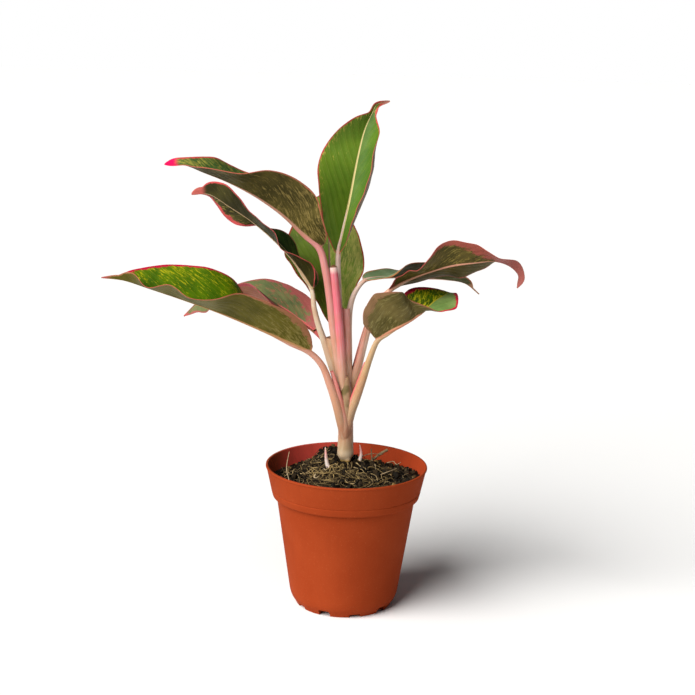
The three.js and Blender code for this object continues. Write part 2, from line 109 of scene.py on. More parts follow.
# A leaf: stalk is the centre line of its stalk and thick the radius at each end; a seated
# stalk is led down into the cane. sheath and sheath_thick are those of its clasping sheath,
# and open is the way the sheath's slit faces; a rolled one is a young leaf, still closed.
# rib is the blade's midrib and facing roughly the way its upper face looks. width is its
# largest half width, full and sharp set how round its base and how tapered its tip are,
# end is the share of the midrib where that outline ends, and tip how strong the thin
# drawn-out tip is. sweep is how far the margin at the base leans towards the tip. left and
# right are the angles at which the two halves rise from flat, at even steps from base to
# tip, as seen from above with the tip away, and left_wide and right_wide scale the width
# of each. curl is how far the right half goes on bending from its rib to its margin.
LEAVES = {
    "lower_left": {
        "stalk": [(-1, 6, 104), (-2, 3, 114), (-4.5, 0, 124), (-7.5, -2, 135), (-12, -3, 148),
                  (-17, -4, 160), (-24, -5, 169)],
        "thick": (3.9, 2),
        "sheath": [(-1, 5, 106), (-1.5, 1.5, 117), (-3.5, -0.5, 129), (-7, -2, 144),
                   (-10.5, -2, 156)],
        "sheath_thick": (3.4, 1.2),
        "open": (1, 0.15, 0.3),
        "rib": [(-24, -5, 169), (-31, -7, 172.5), (-44, -10, 179), (-63, -14, 188),
                (-84, -18, 197), (-106, -21, 205), (-124, -23, 211), (-140, -24, 216),
                (-154, -25, 217.5)],
        "width": 29, "full": 0.5, "sharp": 0.65, "tip": 34, "sweep": 0.33,
        "left": [72, 60, 50, 44, 40, 21, 14, 25, 12, 60, 85],
        "right": [20, 12, 10, 25, 45, 51, 50, 48, 44, 38, 30],
    },
    "lower_right": {
        "stalk": [(-1, 6, 106), (-0.5, 3, 116), (1.5, 1, 127), (5, -1, 138), (9, -2, 151),
                  (13, -3, 165), (17, -4, 178)],
        "thick": (3.8, 1.8),
        "sheath": [(-1, 5, 110), (0, 2, 121), (2.5, 0, 134), (6.3, -1, 148), (10, -1, 162)],
        "sheath_thick": (3.2, 1.2),
        "open": (-1, 0.15, 0.3),
        "rib": [(17, -4, 178), (25, -7, 184), (33, -9, 189), (41, -8, 194), (47, -4, 198),
                (54, 2, 203), (60, 10, 205), (64, 20, 205), (67, 28, 203)],
        "width": 29, "full": 0.45, "sharp": 0.9, "tip": 20,
        "left": [30, 20, 10, 0, -10, 4, 12, 16, 18, 20, 0],
        "right": [60, 50, 58, 62, 70, 67, 62, 62, 85, 40, 0, -5, -8, -5, 0, 0, 0, 0, 0, 0, 0],
        "right_wide": [1, 1, 1, 1, 1, 1, 1, 0.93, 0.45, 0.35, 0.45, 0.65, 0.8, 0.8, 0.75, 0.7,
                       0.7, 0.8, 1, 1, 1],
    },
    "upper_left": {
        "seated": True,
        "rolled": True,
        "stalk": [(-5, 2, 151), (-8, 0, 169), (-11, -1, 186), (-13, -2, 202), (-16, -3, 220),
                  (-19, -3, 236)],
        "thick": (2.8, 2.3),
        "sheath": [(-4, 0, 151), (-6, -1, 175), (-8.5, -2, 200), (-11.5, -2.5, 225)],
        "sheath_thick": (2.8, 2.3),
        "open": (1, 0.6, 0),
        "rib": [(-19, -3, 236), (-33, -6, 247.5), (-45, -10, 258.5), (-60, -14, 269),
                (-76, -18, 277.5), (-91, -21, 283.5), (-103, -23, 288), (-115, -25, 288)],
        "width": 27, "full": 0.5, "sharp": 0.8, "tip": 56, "sweep": 0.12,
        "left": [45, 47, 55, 55, 45, 22, 18, 5, -10],
        "left_wide": [1, 1, 1, 1, 1, 1, 1, 1, 1, 1, 1.8],
        "right": [50, 45, 45, 40, 24, 25, 38, 38, 30],
        "right_wide": [1, 1, 1, 1, 1, 1, 1, 1, 1, 1, 1.8],
    },
    "upper_right": {
        "stalk": [(0, 7, 134), (4, 7, 150), (8, 8, 167), (12, 8, 184), (16.5, 7, 198),
                  (24, 6, 208)],
        "thick": (3.4, 1.6),
        "sheath": [(1, 7, 140), (5, 7, 157), (8, 7.5, 172), (10.5, 7.5, 184)],
        "sheath_thick": (3, 1.9),
        "open": (-1, -0.3, 0.2),
        "rib": [(24, 6, 208), (34, 4, 215), (47, 2, 221), (62, 0, 226), (78, -2, 229),
                (90, -4, 230.5), (100, -5, 227.5), (106, -6, 221), (105, -6, 213.5)],
        "facing": (0.7, 0, 1),
        "width": 19, "full": 0.6, "sharp": 0.7, "tip": 45,
        "left": [10, -10, -15, -20, -33, -18, -5, -5, -20],
        "left_wide": [0.4, 0.85, 1, 1, 1, 1, 1, 1, 1, 1, 1],
        "right_wide": [0.35, 0.75, 1, 1, 1, 1, 1, 1, 1, 1, 1],
        "right": [20, 10, 14, 12, 14, 8, 15, 27, 47, 56, 58, 53, 45, 37, 24, 14, 22, 42, 53, 58, 60],
    },
    "mid_right": {
        "stalk": [(-1, 6, 138), (-1, 6, 152), (-1, 6, 168), (-1, 7, 185), (0, 8, 197),
                  (3, 9, 206), (8, 10, 214)],
        "thick": (3.9, 1.3),
        "sheath": [(-2, 4, 150), (-2, 4, 168), (-2.6, 5, 186), (-2.8, 5, 196)],
        "sheath_thick": (2.6, 2.5),
        "open": (0.6, 0.8, 0),
        "rib": [(8, 10, 214), (15, 14, 215), (28, 22, 214.5), (45, 31, 212.5), (62, 40, 210.5),
                (76, 47, 207), (86, 51, 199)],
        "width": 17, "full": 0.5, "sharp": 0.7, "tip": 10,
        "left": [30, 28, 22, 13, 13, 13, 15, 30, 40],
        "left_wide": [0.6, 0.6, 0.75, 1, 1, 1],
        "right": [0, 8, 36, 44, 48, 46, 30, 25, 30],
    },
    "mid_left": {
        "stalk": [(-2, 7, 134), (-6, 7, 145), (-11, 6, 158), (-16, 6, 173), (-20, 6, 184),
                  (-23, 6, 195), (-24, 6, 208)],
        "thick": (3.2, 1.5),
        "sheath": [(-3, 7, 140), (-7, 7, 154), (-10, 6.5, 165), (-12, 6, 176.5)],
        "sheath_thick": (3.2, 3.2),
        "open": (1, -0.2, 0.4),
        "rib": [(-24, 6, 208), (-29, 7, 215), (-39, 9, 228.5), (-52.5, 12, 241),
                (-65.5, 15, 250.5), (-78.5, 18, 258), (-91.5, 21, 265), (-103.5, 23, 264.5)],
        "width": 16.5, "full": 0.5, "sharp": 0.6, "tip": 21,
        "left": [40, 62, 35, 12, 28, 30, 42, 58, 66, 80, 80],
        "left_wide": [1, 1, 1, 1, 1, 0.9, 0.65, 0.95, 1.35, 1.75, 3.3],
        "right": [50, 30, 0, 15, 32, 0, -68, -62, -55, -30, 20],
        "right_wide": [1, 1, 1, 0.95, 0.6, 0.3, 0.55, 0.9, 0.9, 1, 1],
    },
    "top": {
        "seated": True,
        "stalk": [(-3, 8, 149), (-5, 7, 175), (-7, 6, 198), (-8, 6, 214), (-9, 6, 231)],
        "thick": (2.3, 1.6),
        "rib": [(-9, 6, 231), (-6, 8, 246), (-2, 12, 266), (2, 16, 289), (6, 20, 307),
                (11, 24, 319), (14, 27, 324), (22, 30, 326)],
        "facing": (-0.1, -1, 0.25),
        "width": 24.5, "full": 1, "sharp": 0.9, "end": 0.86, "tip": 20,
        "left": [30, 28, 36, 34, 20, 10, 34, 62, 60],
        "right": [30, 25, 20, 12, 5, 5, 10, 10, 10],
        "curl": [40, 75, 92, 98, 104, 98, 55, 20, 0],
    },
    "low_back_left": {
        "stalk": [(-3, 10, 138), (-7, 13, 150), (-10.5, 13, 161), (-15, 12.5, 171),
                  (-22, 12, 179)],
        "thick": (2.6, 1.6),
        "rib": [(-22, 12, 179), (-32.5, 20, 184.5), (-46, 29, 191.5), (-63.5, 40, 195),
                (-84, 49, 193.5), (-101, 55, 187.5), (-112.5, 58, 177.5)],
        "facing": (0, -0.2, 1),
        "width": 23, "full": 0.6, "sharp": 0.8, "tip": 48, "sweep": 0.3,
        "left": [30, 25, 35, 46, 36, 10, -15, -40, -30],
        "right": [60, 25, 12, 12, 14, 8, 5, 5, 0],
    },
    "back": {
        "stalk": [(-2, 10, 138), (-3.5, 13, 148), (-6, 15, 159), (-8, 15.5, 170),
                  (-10.5, 16, 180.5)],
        "thick": (2.6, 1.6),
        "rib": [(-10.5, 16, 180.5), (-12, 26, 197), (-14, 37, 215), (-15, 47, 230),
                (-15.5, 57, 245), (-14, 65, 260), (-11.5, 70, 271)],
        "facing": (0, -1, 0.4),
        "width": 30, "full": 0.8, "sharp": 0.8, "tip": 15,
        "left": [60, 55, 45, 30, 8, 0, 0, 5, 10],
        "right": [50, 40, 45, 38, 42, 49, 56, 60, 60, 50, 40],
    },
}

# Two young shoots, with the radius at the foot, and two twigs, with the radius at each end.
SHOOTS = {
    "shoot_left": ([(-7, -6, 82), (-9.9, -5, 89), (-12.7, -3, 95), (-14, -1, 105)], 2.3),
    "shoot_right": ([(6.6, 5, 86), (7.9, 6, 92), (9.4, 7.5, 98), (8.4, 8, 104.5)], 1.9),
}
TWIGS = {
    "twig_upright": ([(20, 8, 80), (18.2, 10, 87), (16.7, 13, 94), (16, 14, 100)], (0.6, 0.4)),
    "twig_thick": ([(10, 12, 86), (15, 14, 90.5), (22, 18, 95.5), (27, 20, 98)], (0.9, 0.9)),
}

# ------------------------------------------------------------------------------ curves


def stations(values, u):
    """Values at u, 0 to 1, on a smooth curve through evenly spaced ones: between two of
    them it is the cubic whose slope at each is half the step between its neighbours."""
    v = np.asarray(values, float)
    last = len(v) - 1
    t = np.clip(u, 0, 1) * last
    i = np.minimum(t.astype(int), last - 1)
    f = (t - i).reshape((-1,) + (1,) * (v.ndim - 1))
    a, b, c, d = (v[np.clip(i + k, 0, last)] for k in (-1, 0, 1, 2))
    return b + 0.5 * f * (c - a + f * (2 * a - 5 * b + 4 * c - d + f * (3 * (b - c) + d - a)))


def unit(vectors):
    """Vectors scaled to length 1."""
    return vectors / np.linalg.norm(vectors, axis=-1, keepdims=True)


def run_along(points, u):
    """Places and directions at shares u of the length of the smooth curve through points,
    whose ends go straight on, and that length."""
    p = np.asarray(points, float)
    p = np.vstack([2 * p[0] - p[1], p, 2 * p[-1] - p[-2]])
    spans = len(p) - 3
    fine = np.linspace(0, 1, 80 * spans + 1)
    inner = (1 + fine * spans) / (spans + 2)
    dense = stations(p, inner)
    length = np.r_[0, np.cumsum(np.linalg.norm(np.diff(dense, axis=0), axis=1))]
    at = np.interp(np.asarray(u) * length[-1], length, inner)
    step = 1e-4
    return stations(p, at), unit(stations(p, at + step) - stations(p, at - step)), length[-1]


def smooth(low, high, x):
    """0 at low and before it, 1 at high and past it, and the cubic 3t^2 - 2t^3 between."""
    t = np.clip((x - low) / (high - low), 0, 1)
    return t * t * (3 - 2 * t)


def bell(x, width):
    """1 at 0, falling evenly to both sides as exp(-(x / width)^2)."""
    return np.exp(-((x / width) ** 2))


def ripple(x, y, wavelength, seed, waves=9):
    """Irregular height, about -1 to 1: a sum of plane sine waves in seeded directions,
    with wavelengths from 0.6 to 1.6 times the one asked for."""
    rng = np.random.default_rng(seed)
    total = np.zeros(np.broadcast(x, y).shape)
    for _ in range(waves):
        angle = rng.uniform(0, TURN)
        length = wavelength * rng.uniform(0.6, 1.6)
        along = x * math.cos(angle) + y * math.sin(angle)
        total += np.sin(TURN * along / length + rng.uniform(0, TURN))
    return total / math.sqrt(waves) / 1.4


# ------------------------------------------------------------------------------ meshes


def ring_faces(rows, columns, start):
    """Faces between neighbouring rings of points, each ring closed on itself, and one
    face over each end. Rings run anticlockwise about the way that the rows go."""
    i = np.arange(rows - 1)[:, None] * columns
    j = np.arange(columns)[None, :]
    k = (j + 1) % columns
    quads = np.stack([i + j, i + k, i + columns + k, i + columns + j], -1).reshape(-1, 4) + start
    first = np.arange(columns)[::-1] + start
    last = np.arange(columns) + (rows - 1) * columns + start
    return quads, [first, last]


def build(name, shells, finish, replaces=(), sharp=50):
    """One piece out of shells. A shell is an array of rings of points, rows by columns by
    3, and a dict of values for each point. The piece rides on the pot's body."""
    points, quads, caps, values = [], [], [], {}
    start = 0
    for rings, given in shells:
        rows, columns = rings.shape[:2]
        sides, ends = ring_faces(rows, columns, start)
        points.append(rings.reshape(-1, 3))
        quads.append(sides)
        caps += ends
        for key, value in given.items():
            values.setdefault(key, []).append(np.reshape(value, (rows * columns, -1)))
        start += rows * columns
    points = np.concatenate(points) * MM
    corners = np.concatenate([np.concatenate(quads).ravel(), *caps])
    sizes = np.r_[np.full(sum(map(len, quads)), 4), [len(c) for c in caps]]
    mesh = bpy.data.meshes.new(name)
    mesh.vertices.add(len(points))
    mesh.vertices.foreach_set("co", points.astype(np.float32).ravel())
    mesh.loops.add(len(corners))
    mesh.loops.foreach_set("vertex_index", corners.astype(np.int32))
    mesh.polygons.add(len(sizes))
    mesh.polygons.foreach_set("loop_start", np.r_[0, np.cumsum(sizes)[:-1]].astype(np.int32))
    mesh.update(calc_edges=True)
    for key, parts in values.items():
        attribute = mesh.attributes.new(key, "FLOAT_VECTOR", "POINT")
        attribute.data.foreach_set("vector", np.concatenate(parts).astype(np.float32).ravel())
    mesh.polygons.foreach_set("use_smooth", np.ones(len(sizes), bool))
    mesh.set_sharp_from_angle(angle=math.radians(sharp))
    piece = bpy.data.objects.new(name, mesh)
    bpy.context.scene.collection.objects.link(piece)
    mesh.materials.append(finish)
    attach(piece, BODY)
    if replaces:
        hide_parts(*replaces)
    return piece


def full_turn(columns):
    """Evenly spaced angles once round."""
    return np.linspace(0, TURN, columns, endpoint=False)


def turned(r, a, z):
    """Points at radius r, angle a and height z about the pot's axis."""
    return np.stack([r * np.cos(a), r * np.sin(a), z + 0 * (r * a)], -1)


def sections(tangent, towards):
    """Two directions across each tangent: the first as near as can be to towards, and
    the second a quarter turn on, anticlockwise about the tangent."""
    towards = np.asarray(towards, float)
    across = unit(towards - tangent * (tangent @ towards)[:, None])
    return across, np.cross(tangent, across)


def about(n, b, a):
    """Directions across a curve at angle a from n towards b, for each of its sections."""
    return n[:, None] * np.cos(a)[..., None] + b[:, None] * np.sin(a)[..., None]


def swell(rings, factor):
    """Rings of points grown about their middles, by a factor for each point."""
    centre = rings.mean(axis=1, keepdims=True)
    return centre + (rings - centre) * factor[..., None]


def tube(path, radius, rows, columns, towards=(0, -1, 0.01), rounded=(True, True)):
    """Rings round a smooth curve through path. radius gives the radius at shares of the
    length. A rounded end closes as a half sphere. Returns the rings, shares and angles."""
    u = np.linspace(0, 1, rows)
    centre, tangent, length = run_along(path, u)
    r = radius(u)
    for end, on in ((0, rounded[0]), (-1, rounded[1])):
        if on:
            away = np.abs(u - u[end]) * length
            cap = r[end]
            r = r * np.sqrt(np.clip(1 - np.clip(1 - away / cap, 0, 0.985) ** 2, 0, 1))
    a = full_turn(columns)
    around = about(*sections(tangent, towards), a)
    return centre[:, None] + around * r[:, None, None], u, a


# --------------------------------------------------------------------------- finishes


class Finish:
    """A procedural material. Its methods add nodes and return their output sockets, and
    take sockets, numbers or colours as inputs."""

    def __init__(self, name, roughness=0.5, specular=0.5, **settings):
        self.material = bpy.data.materials.new(name)
        self.material.use_nodes = True
        self.nodes = self.material.node_tree.nodes
        self.links = self.material.node_tree.links
        self.shader = self.nodes["Principled BSDF"]
        self.shader.inputs["Specular IOR Level"].default_value = specular
        self.put(self.shader.inputs["Roughness"], roughness)
        for key, value in settings.items():
            self.shader.inputs[key.replace("_", " ").title()].default_value = value

    def put(self, socket, value):
        if isinstance(value, bpy.types.NodeSocket):
            self.links.new(value, socket)
        elif socket.type == "RGBA" and len(value) == 3:
            socket.default_value = (*value, 1)
        else:
            socket.default_value = value

    def node(self, kind, inputs, **settings):
        made = self.nodes.new("ShaderNode" + kind)
        for key, value in settings.items():
            setattr(made, key, value)
        for key, value in inputs.items():
            self.put(made.inputs[key], value)
        return made

    def place(self):
        """Object coordinates, in metres."""
        return self.node("TexCoord", {}).outputs["Object"]

    def drawn_out(self, share):
        """Object coordinates with Z scaled by share, which draws noise out upwards."""
        inputs = {0: self.place(), 1: (1, 1, share)}
        return self.node("VectorMath", inputs, operation="MULTIPLY").outputs[0]

    def parts(self, vector):
        """The three parts of a vector."""
        return list(self.node("SeparateXYZ", {0: vector}).outputs)

    def own(self, name):
        """The three parts of one of the piece's own attributes."""
        return self.parts(self.node("Attribute", {}, attribute_name=name).outputs["Vector"])

    def vector(self, x, y, z=0.0):
        return self.node("CombineXYZ", {0: x, 1: y, 2: z}).outputs[0]

    def maths(self, operation, a, b=0.0):
        return self.node("Math", {0: a, 1: b}, operation=operation).outputs[0]

    def times(self, a, b):
        return self.maths("MULTIPLY", a, b)

    def plus(self, a, b):
        return self.maths("ADD", a, b)

    def less(self, a, b):
        return self.maths("SUBTRACT", a, b)

    def ramp(self, value, low, high, start=0.0, end=1.0):
        """start below low and end above high, with a smooth step between."""
        inputs = {"Value": value, "From Min": low, "From Max": high, "To Min": start, "To Max": end}
        return self.node("MapRange", inputs, interpolation_type="SMOOTHSTEP").outputs["Result"]

    def noise(self, vector, scale, detail=2.0, roughness=0.5, distortion=0.0):
        inputs = {"Vector": vector, "Scale": scale, "Detail": detail, "Roughness": roughness}
        inputs["Distortion"] = distortion
        return self.node("TexNoise", inputs).outputs["Fac"]

    def mix(self, share, a, b):
        """Colour a where share is 0 and b where it is 1."""
        return self.node("Mix", {0: share, 6: a, 7: b}, data_type="RGBA").outputs[2]

    def layers(self, colour, *rows):
        """The colour with others laid over it in turn. A row gives a value, where that
        value starts to show and where it shows fully, how much it covers, and a colour."""
        for value, start, full, cover, top in rows:
            colour = self.mix(self.ramp(value, start, full, 0.0, cover), colour, top)
        return colour

    def finish(self, colour, height=None, depth=0.0, roughness=None):
        """Sets the colour, a bump of that depth in millimetres, and the roughness."""
        self.put(self.shader.inputs["Base Color"], colour)
        if roughness is not None:
            self.put(self.shader.inputs["Roughness"], roughness)
        if height is not None:
            bump = self.node("Bump", {"Height": height, "Distance": depth * MM})
            self.links.new(bump.outputs["Normal"], self.shader.inputs["Normal"])
        return self.material


# A leaf's colours. green, dark and fleck are the upper face's main, clouded and speckled
# colours and under, under_dark and under_fleck the lower face's. edge and under_edge give
# how far the margin's colour runs in, in millimetres, and flecks and under_flecks how
# much is speckled, each for the left and the right half at even steps from base to tip.
# fleck_fall is how fast the specks thin out away from the margin, in millimetres. tip is
# the tip's colour, which starts at the share tip_from of the length. LEAF_LOOK holds what
# several leaves share.
LEAF_LOOK = {
    "dark": (0.04, 0.08, 0.006),
    "fleck": (0.3, 0.3, 0.03),
    "flecks": ([0.3, 0.3], [0.3, 0.3]),
    "fleck_fall": 90,
    "edge": ([0.8, 0.8], [0.8, 0.8]),
    "rib": (0.5, 0.4, 0.2),
    "under": (0.1, 0.085, 0.015),
    "under_dark": (0.05, 0.045, 0.008),
    "under_fleck": (0.24, 0.19, 0.05),
    "under_flecks": ([0.3, 0.3], [0.3, 0.3]),
    "under_edge": ([0.7, 0.7], [0.7, 0.7]),
    "under_margin": (0.38, 0.13, 0.07),
    "under_rib": (0.45, 0.24, 0.12),
    "tip": (0.4, 0.08, 0.07),
    "tip_from": 0.97,
}

LEAF_LOOKS = {
    "lower_left": {
        "green": (0.09, 0.17, 0.001), "dark": (0.045, 0.11, 0.0005),
        "fleck": (0.45, 0.42, 0.01), "flecks": ([0.4, 0.4, 0.5], [0.45, 0.7, 0.8, 0.85, 0.7]),
        "fleck_fall": 40,
        "margin": (0.52, 0.008, 0.04), "edge": ([1, 0.8, 1], [1, 1, 1.1, 1.5, 2.2]),
        "rib": (0.5, 0.1, 0.08),
        "under": (0.13, 0.11, 0.01), "under_dark": (0.075, 0.066, 0.004),
        "under_flecks": ([1.05, 0.7, 0.35, 0.1, 0.2], [0.3, 0.3]),
        "under_edge": ([7, 2, 0.7, 0.6, 0.9], [1, 1]),
        "under_margin": (0.36, 0.15, 0.07), "under_rib": (0.48, 0.24, 0.1),
    },
    "lower_right": {
        "green": (0.05, 0.11, 0.002), "dark": (0.02, 0.05, 0.001), "fleck": (0.42, 0.38, 0.01),
        # painted light: the right half is painted in much lighter greens, as lit, and the left half in
        # darker ones, as in shade
        "flecks": ([0.9, 0.9], [0.1, 0.05]), "painted_light_green_right": (0.19, 0.27, 0.08),
        "painted_light_dark_right": (0.12, 0.2, 0.05),
        "margin": (0.5, 0.01, 0.04), "edge": ([0.8, 1.5, 3, 3.4, 3], [0.8, 0.8, 1.2, 2, 2.6]),
        "rib": (0.34, 0.28, 0.02),
        "under": (0.15, 0.115, 0.035), "under_dark": (0.075, 0.06, 0.012),
        "under_flecks": ([0.3, 0.3], [0.7, 0.65, 0.7, 0.3]), "under_fleck": (0.24, 0.2, 0.07),
        "under_edge": ([1, 1], [6, 4.5, 1.4, 0.6, 0.6, 0.6, 0.6]),
        "under_margin": (0.27, 0.15, 0.07), "under_rib": (0.5, 0.21, 0.12),
    },
    "upper_left": {
        "green": (0.07, 0.13, 0.03), "dark": (0.03, 0.08, 0.015), "fleck": (0.38, 0.34, 0.06),
        "flecks": ([0.8, 0.8], [0.8, 0.95]), "margin": (0.6, 0.08, 0.07),
        "edge": ([1, 1], [1, 1, 1.5]), "fleck_fall": 30,
        "under": (0.1, 0.077, 0.015), "under_dark": (0.045, 0.036, 0.006),
        "under_fleck": (0.26, 0.19, 0.055), "under_flecks": ([0.85, 0.8, 0.6, 0.3, 0.1], [0.3, 0.3]),
        "under_edge": ([1, 0.8, 0.7, 0.7], [1, 1]),
        "under_margin": (0.42, 0.13, 0.07), "under_rib": (0.5, 0.24, 0.16),
        "tip": (0.85, 0.006, 0.1), "tip_from": 0.935,
    },
    "upper_right": {
        "green": (0.05, 0.08, 0.01), "margin": (0.42, 0.04, 0.04), "edge": ([2, 2], [2, 6]),
        "under": (0.1, 0.075, 0.016), "under_dark": (0.055, 0.045, 0.008),
        "under_fleck": (0.24, 0.18, 0.04), "under_flecks": ([0.5, 0.4], [0.6, 0.7, 0.5]),
        "under_margin": (0.33, 0.08, 0.055),
        "under_edge": ([2, 0.8, 0.8, 1, 1, 1, 1.5, 2, 4], [7, 1, 0.8, 0.8, 2, 4, 8, 13, 16, 18, 18]),
        "under_rib": (0.65, 0.3, 0.2), "tip": (0.3, 0.085, 0.07), "tip_from": 0.74,
    },
    "mid_right": {
        "green": (0.26, 0.35, 0.19), "dark": (0.16, 0.24, 0.11), "fleck": (0.42, 0.34, 0.07),
        "flecks": ([0.2, 0.2], [0.5, 0.3]), "margin": (0.5, 0.2, 0.07), "fleck_fall": 6,
        "edge": ([0.8, 0.8], [3, 3, 1.6, 1.2]), "under": (0.055, 0.055, 0.008),
        "under_dark": (0.03, 0.034, 0.005), "under_flecks": ([0.3, 0.3], [0.3, 0.4]),
        "under_margin": (0.34, 0.12, 0.06), "under_rib": (0.65, 0.38, 0.27),
        "tip": (0.36, 0.17, 0.09), "tip_from": 0.88,
    },
    "mid_left": {
        "green": (0.036, 0.08, 0.012), "dark": (0.016, 0.036, 0.006),
        "fleck": (0.08, 0.12, 0.01), "flecks": ([0.3, 0.3], [0.25, 0.2]),
        "margin": (0.45, 0.12, 0.1), "edge": ([0.7, 0.7], [0.7, 0.7]),
        "under": (0.05, 0.044, 0.008), "under_dark": (0.025, 0.022, 0.004),
        "under_fleck": (0.24, 0.19, 0.04), "under_flecks": ([0.3, 0.3], [0.1, 0.3, 0.7, 0.8]),
        "under_margin": (0.55, 0.07, 0.07), "under_edge": ([0.5, 0.5, 0.6, 1.2], [0.8, 0.8, 1.6, 3, 3]),
        "under_rib": (0.52, 0.35, 0.2), "tip": (0.45, 0.1, 0.08), "tip_from": 0.92,
    },
    "top": {
        "green": (0.115, 0.19, 0.014), "dark": (0.085, 0.155, 0.011), "fleck": (0.45, 0.36, 0.07),
        "flecks": ([0.4, 0.8, 1, 0.9], [0.1, 0.3, 0.9]), "fleck_fall": 3.5,
        # painted light: the left half is painted in lighter greens than the right half, to stand in for
        # light on the left half, which lies in shade
        "painted_light_green_right": (0.09, 0.17, 0.014), "painted_light_dark_right": (0.06, 0.13, 0.012),
        "margin": (0.5, 0.06, 0.05), "edge": ([0.7, 0.7, 1], [0.6, 0.6, 1.2]),
        "rib": (0.62, 0.5, 0.22), "under": (0.26, 0.2, 0.15), "under_dark": (0.2, 0.15, 0.11),
        "tip": (0.4, 0.16, 0.12), "tip_from": 0.95,
    },
    "low_back_left": {
        "green": (0.15, 0.16, 0.06), "dark": (0.09, 0.12, 0.045), "fleck": (0.32, 0.12, 0.07),
        "flecks": ([0.9, 0.8, 0.6, 0.5], [0.95, 0.8, 0.6, 0.5]),
        "margin": (0.33, 0.085, 0.075), "edge": ([12, 6, 2.5, 1.2, 1, 2], [14, 8, 3, 1.2, 1, 2]),
        "rib": (0.66, 0.14, 0.14), "under": (0.36, 0.14, 0.07), "under_dark": (0.25, 0.09, 0.045),
        "under_fleck": (0.36, 0.12, 0.08),
        "under_flecks": ([0.8, 0.6], [0.8, 0.6]), "under_margin": (0.5, 0.08, 0.09),
        "under_edge": ([8, 4, 1, 1], [8, 4, 1, 1]),
    },
    "back": {
        "green": (0.13, 0.2, 0.02), "dark": (0.08, 0.12, 0.016), "fleck": (0.3, 0.29, 0.07),
        "flecks": ([0.6, 0.5, 0.5], [1, 1.1, 1]), "margin": (0.36, 0.035, 0.02),
        "rib": (0.14, 0.07, 0.055),
    },
}


def leaf_finish(name):
    """A waxy leaf. The blade's own attributes give each point's place: leaf_place holds
    millimetres along the midrib, across it and in from the margin, leaf_form the share of
    the length, the vein that the point lies by, and 1 on the lower face, and leaf_edge
    how far in the margin's colour runs there and how dense the specks are."""
    look = {**LEAF_LOOK, **LEAF_LOOKS[name]}
    seed = 7.3 * list(LEAVES).index(name)
    f = Finish("leaf_" + name, specular=0.14)
    along, across, inward = f.own("leaf_place")
    share, vein, back = f.own("leaf_form")
    reach, dense, _ = f.own("leaf_edge")
    out = f.maths("ABSOLUTE", across)
    side = f.ramp(across, -0.5, 0.5, 0.0, 40.0)
    # streaks run with the veins, so their pattern is stretched that way
    streaked = f.vector(vein, f.times(out, 0.55), f.plus(side, seed))
    plain = f.vector(along, across, f.plus(f.times(back, 30.0), seed))
    cloud = f.noise(plain, 0.075, 3)
    grain = f.noise(streaked, 1.2, 4, 0.7)
    streak = f.noise(streaked, 0.5, 3, 0.6, 0.8)
    speck = f.noise(streaked, 1.15, 3, 0.65, 0.4)
    speck = f.plus(f.times(speck, 0.66), f.times(f.noise(plain, 0.3, 2, 0.5), 0.34))
    blotch = f.noise(plain, 0.22, 4, 0.6, 0.4)
    line = f.maths("PINGPONG", f.times(vein, 1 / VEIN_SPACING), 0.5)
    veined = f.times(f.ramp(line, 0.05, 0.0), f.ramp(out, 1.0, 4.0))
    patch = f.plus(f.times(streak, 0.42), f.times(speck, 0.58))
    low = f.less(0.66, f.times(dense, 0.2))
    spots = f.ramp(f.less(patch, low), 0.0, 0.06, 0.0, 0.85)
    uneven = f.plus(f.times(blotch, 2.4), f.times(grain, 2.4))
    limit = f.times(reach, f.less(uneven, 1.4))
    band = f.ramp(f.less(inward, limit), 0.35, -0.3)

    def face(main, dark, fleck, margin, rib, rib_width):
        colour = f.layers(main, (cloud, 0.35, 0.65, 1, dark), (grain, 0.4, 0.75, 0.5, dark))
        colour = f.mix(f.times(veined, 0.16), colour, fleck)
        colour = f.mix(spots, colour, fleck)
        tinted = f.layers(margin, (grain, 0.35, 0.7, 0.4, tuple(0.55 * c for c in margin)))
        colour = f.mix(band, colour, tinted)
        ribbed = f.less(out, f.times(f.less(1.1, share), rib_width))
        return f.layers(colour, (ribbed, 0.25, -0.2, 1, rib))

    green, dark = look["green"], look["dark"]
    # painted light: where a leaf has them, its right half takes other greens than the left, lighter or
    # darker, for the light or shade on each half
    if "painted_light_green_right" in look:
        green = f.layers(green, (across, -0.2, 0.2, 1, look["painted_light_green_right"]))
        dark = f.layers(dark, (across, -0.2, 0.2, 1, look["painted_light_dark_right"]))
    upper = face(green, dark, look["fleck"], look["margin"], look["rib"], 0.9)
    under = (look["under" + key] for key in ("", "_dark", "_fleck", "_margin", "_rib"))
    colour = f.layers(
        f.mix(back, upper, face(*under, 1.4)),
        (share, look["tip_from"] - 0.02, look["tip_from"] + 0.02, 1, look["tip"]),
        (f.plus(share, f.times(out, 0.004)), 0.03, 0.005, 1, look["under_rib"]),
    )
    height = f.plus(f.times(grain, 0.6), f.times(veined, -0.5))
    gloss = f.plus(f.ramp(cloud, 0.3, 0.7, 0.4, 0.5), f.times(back, 0.15))
    return f.finish(colour, height, 0.14, gloss)


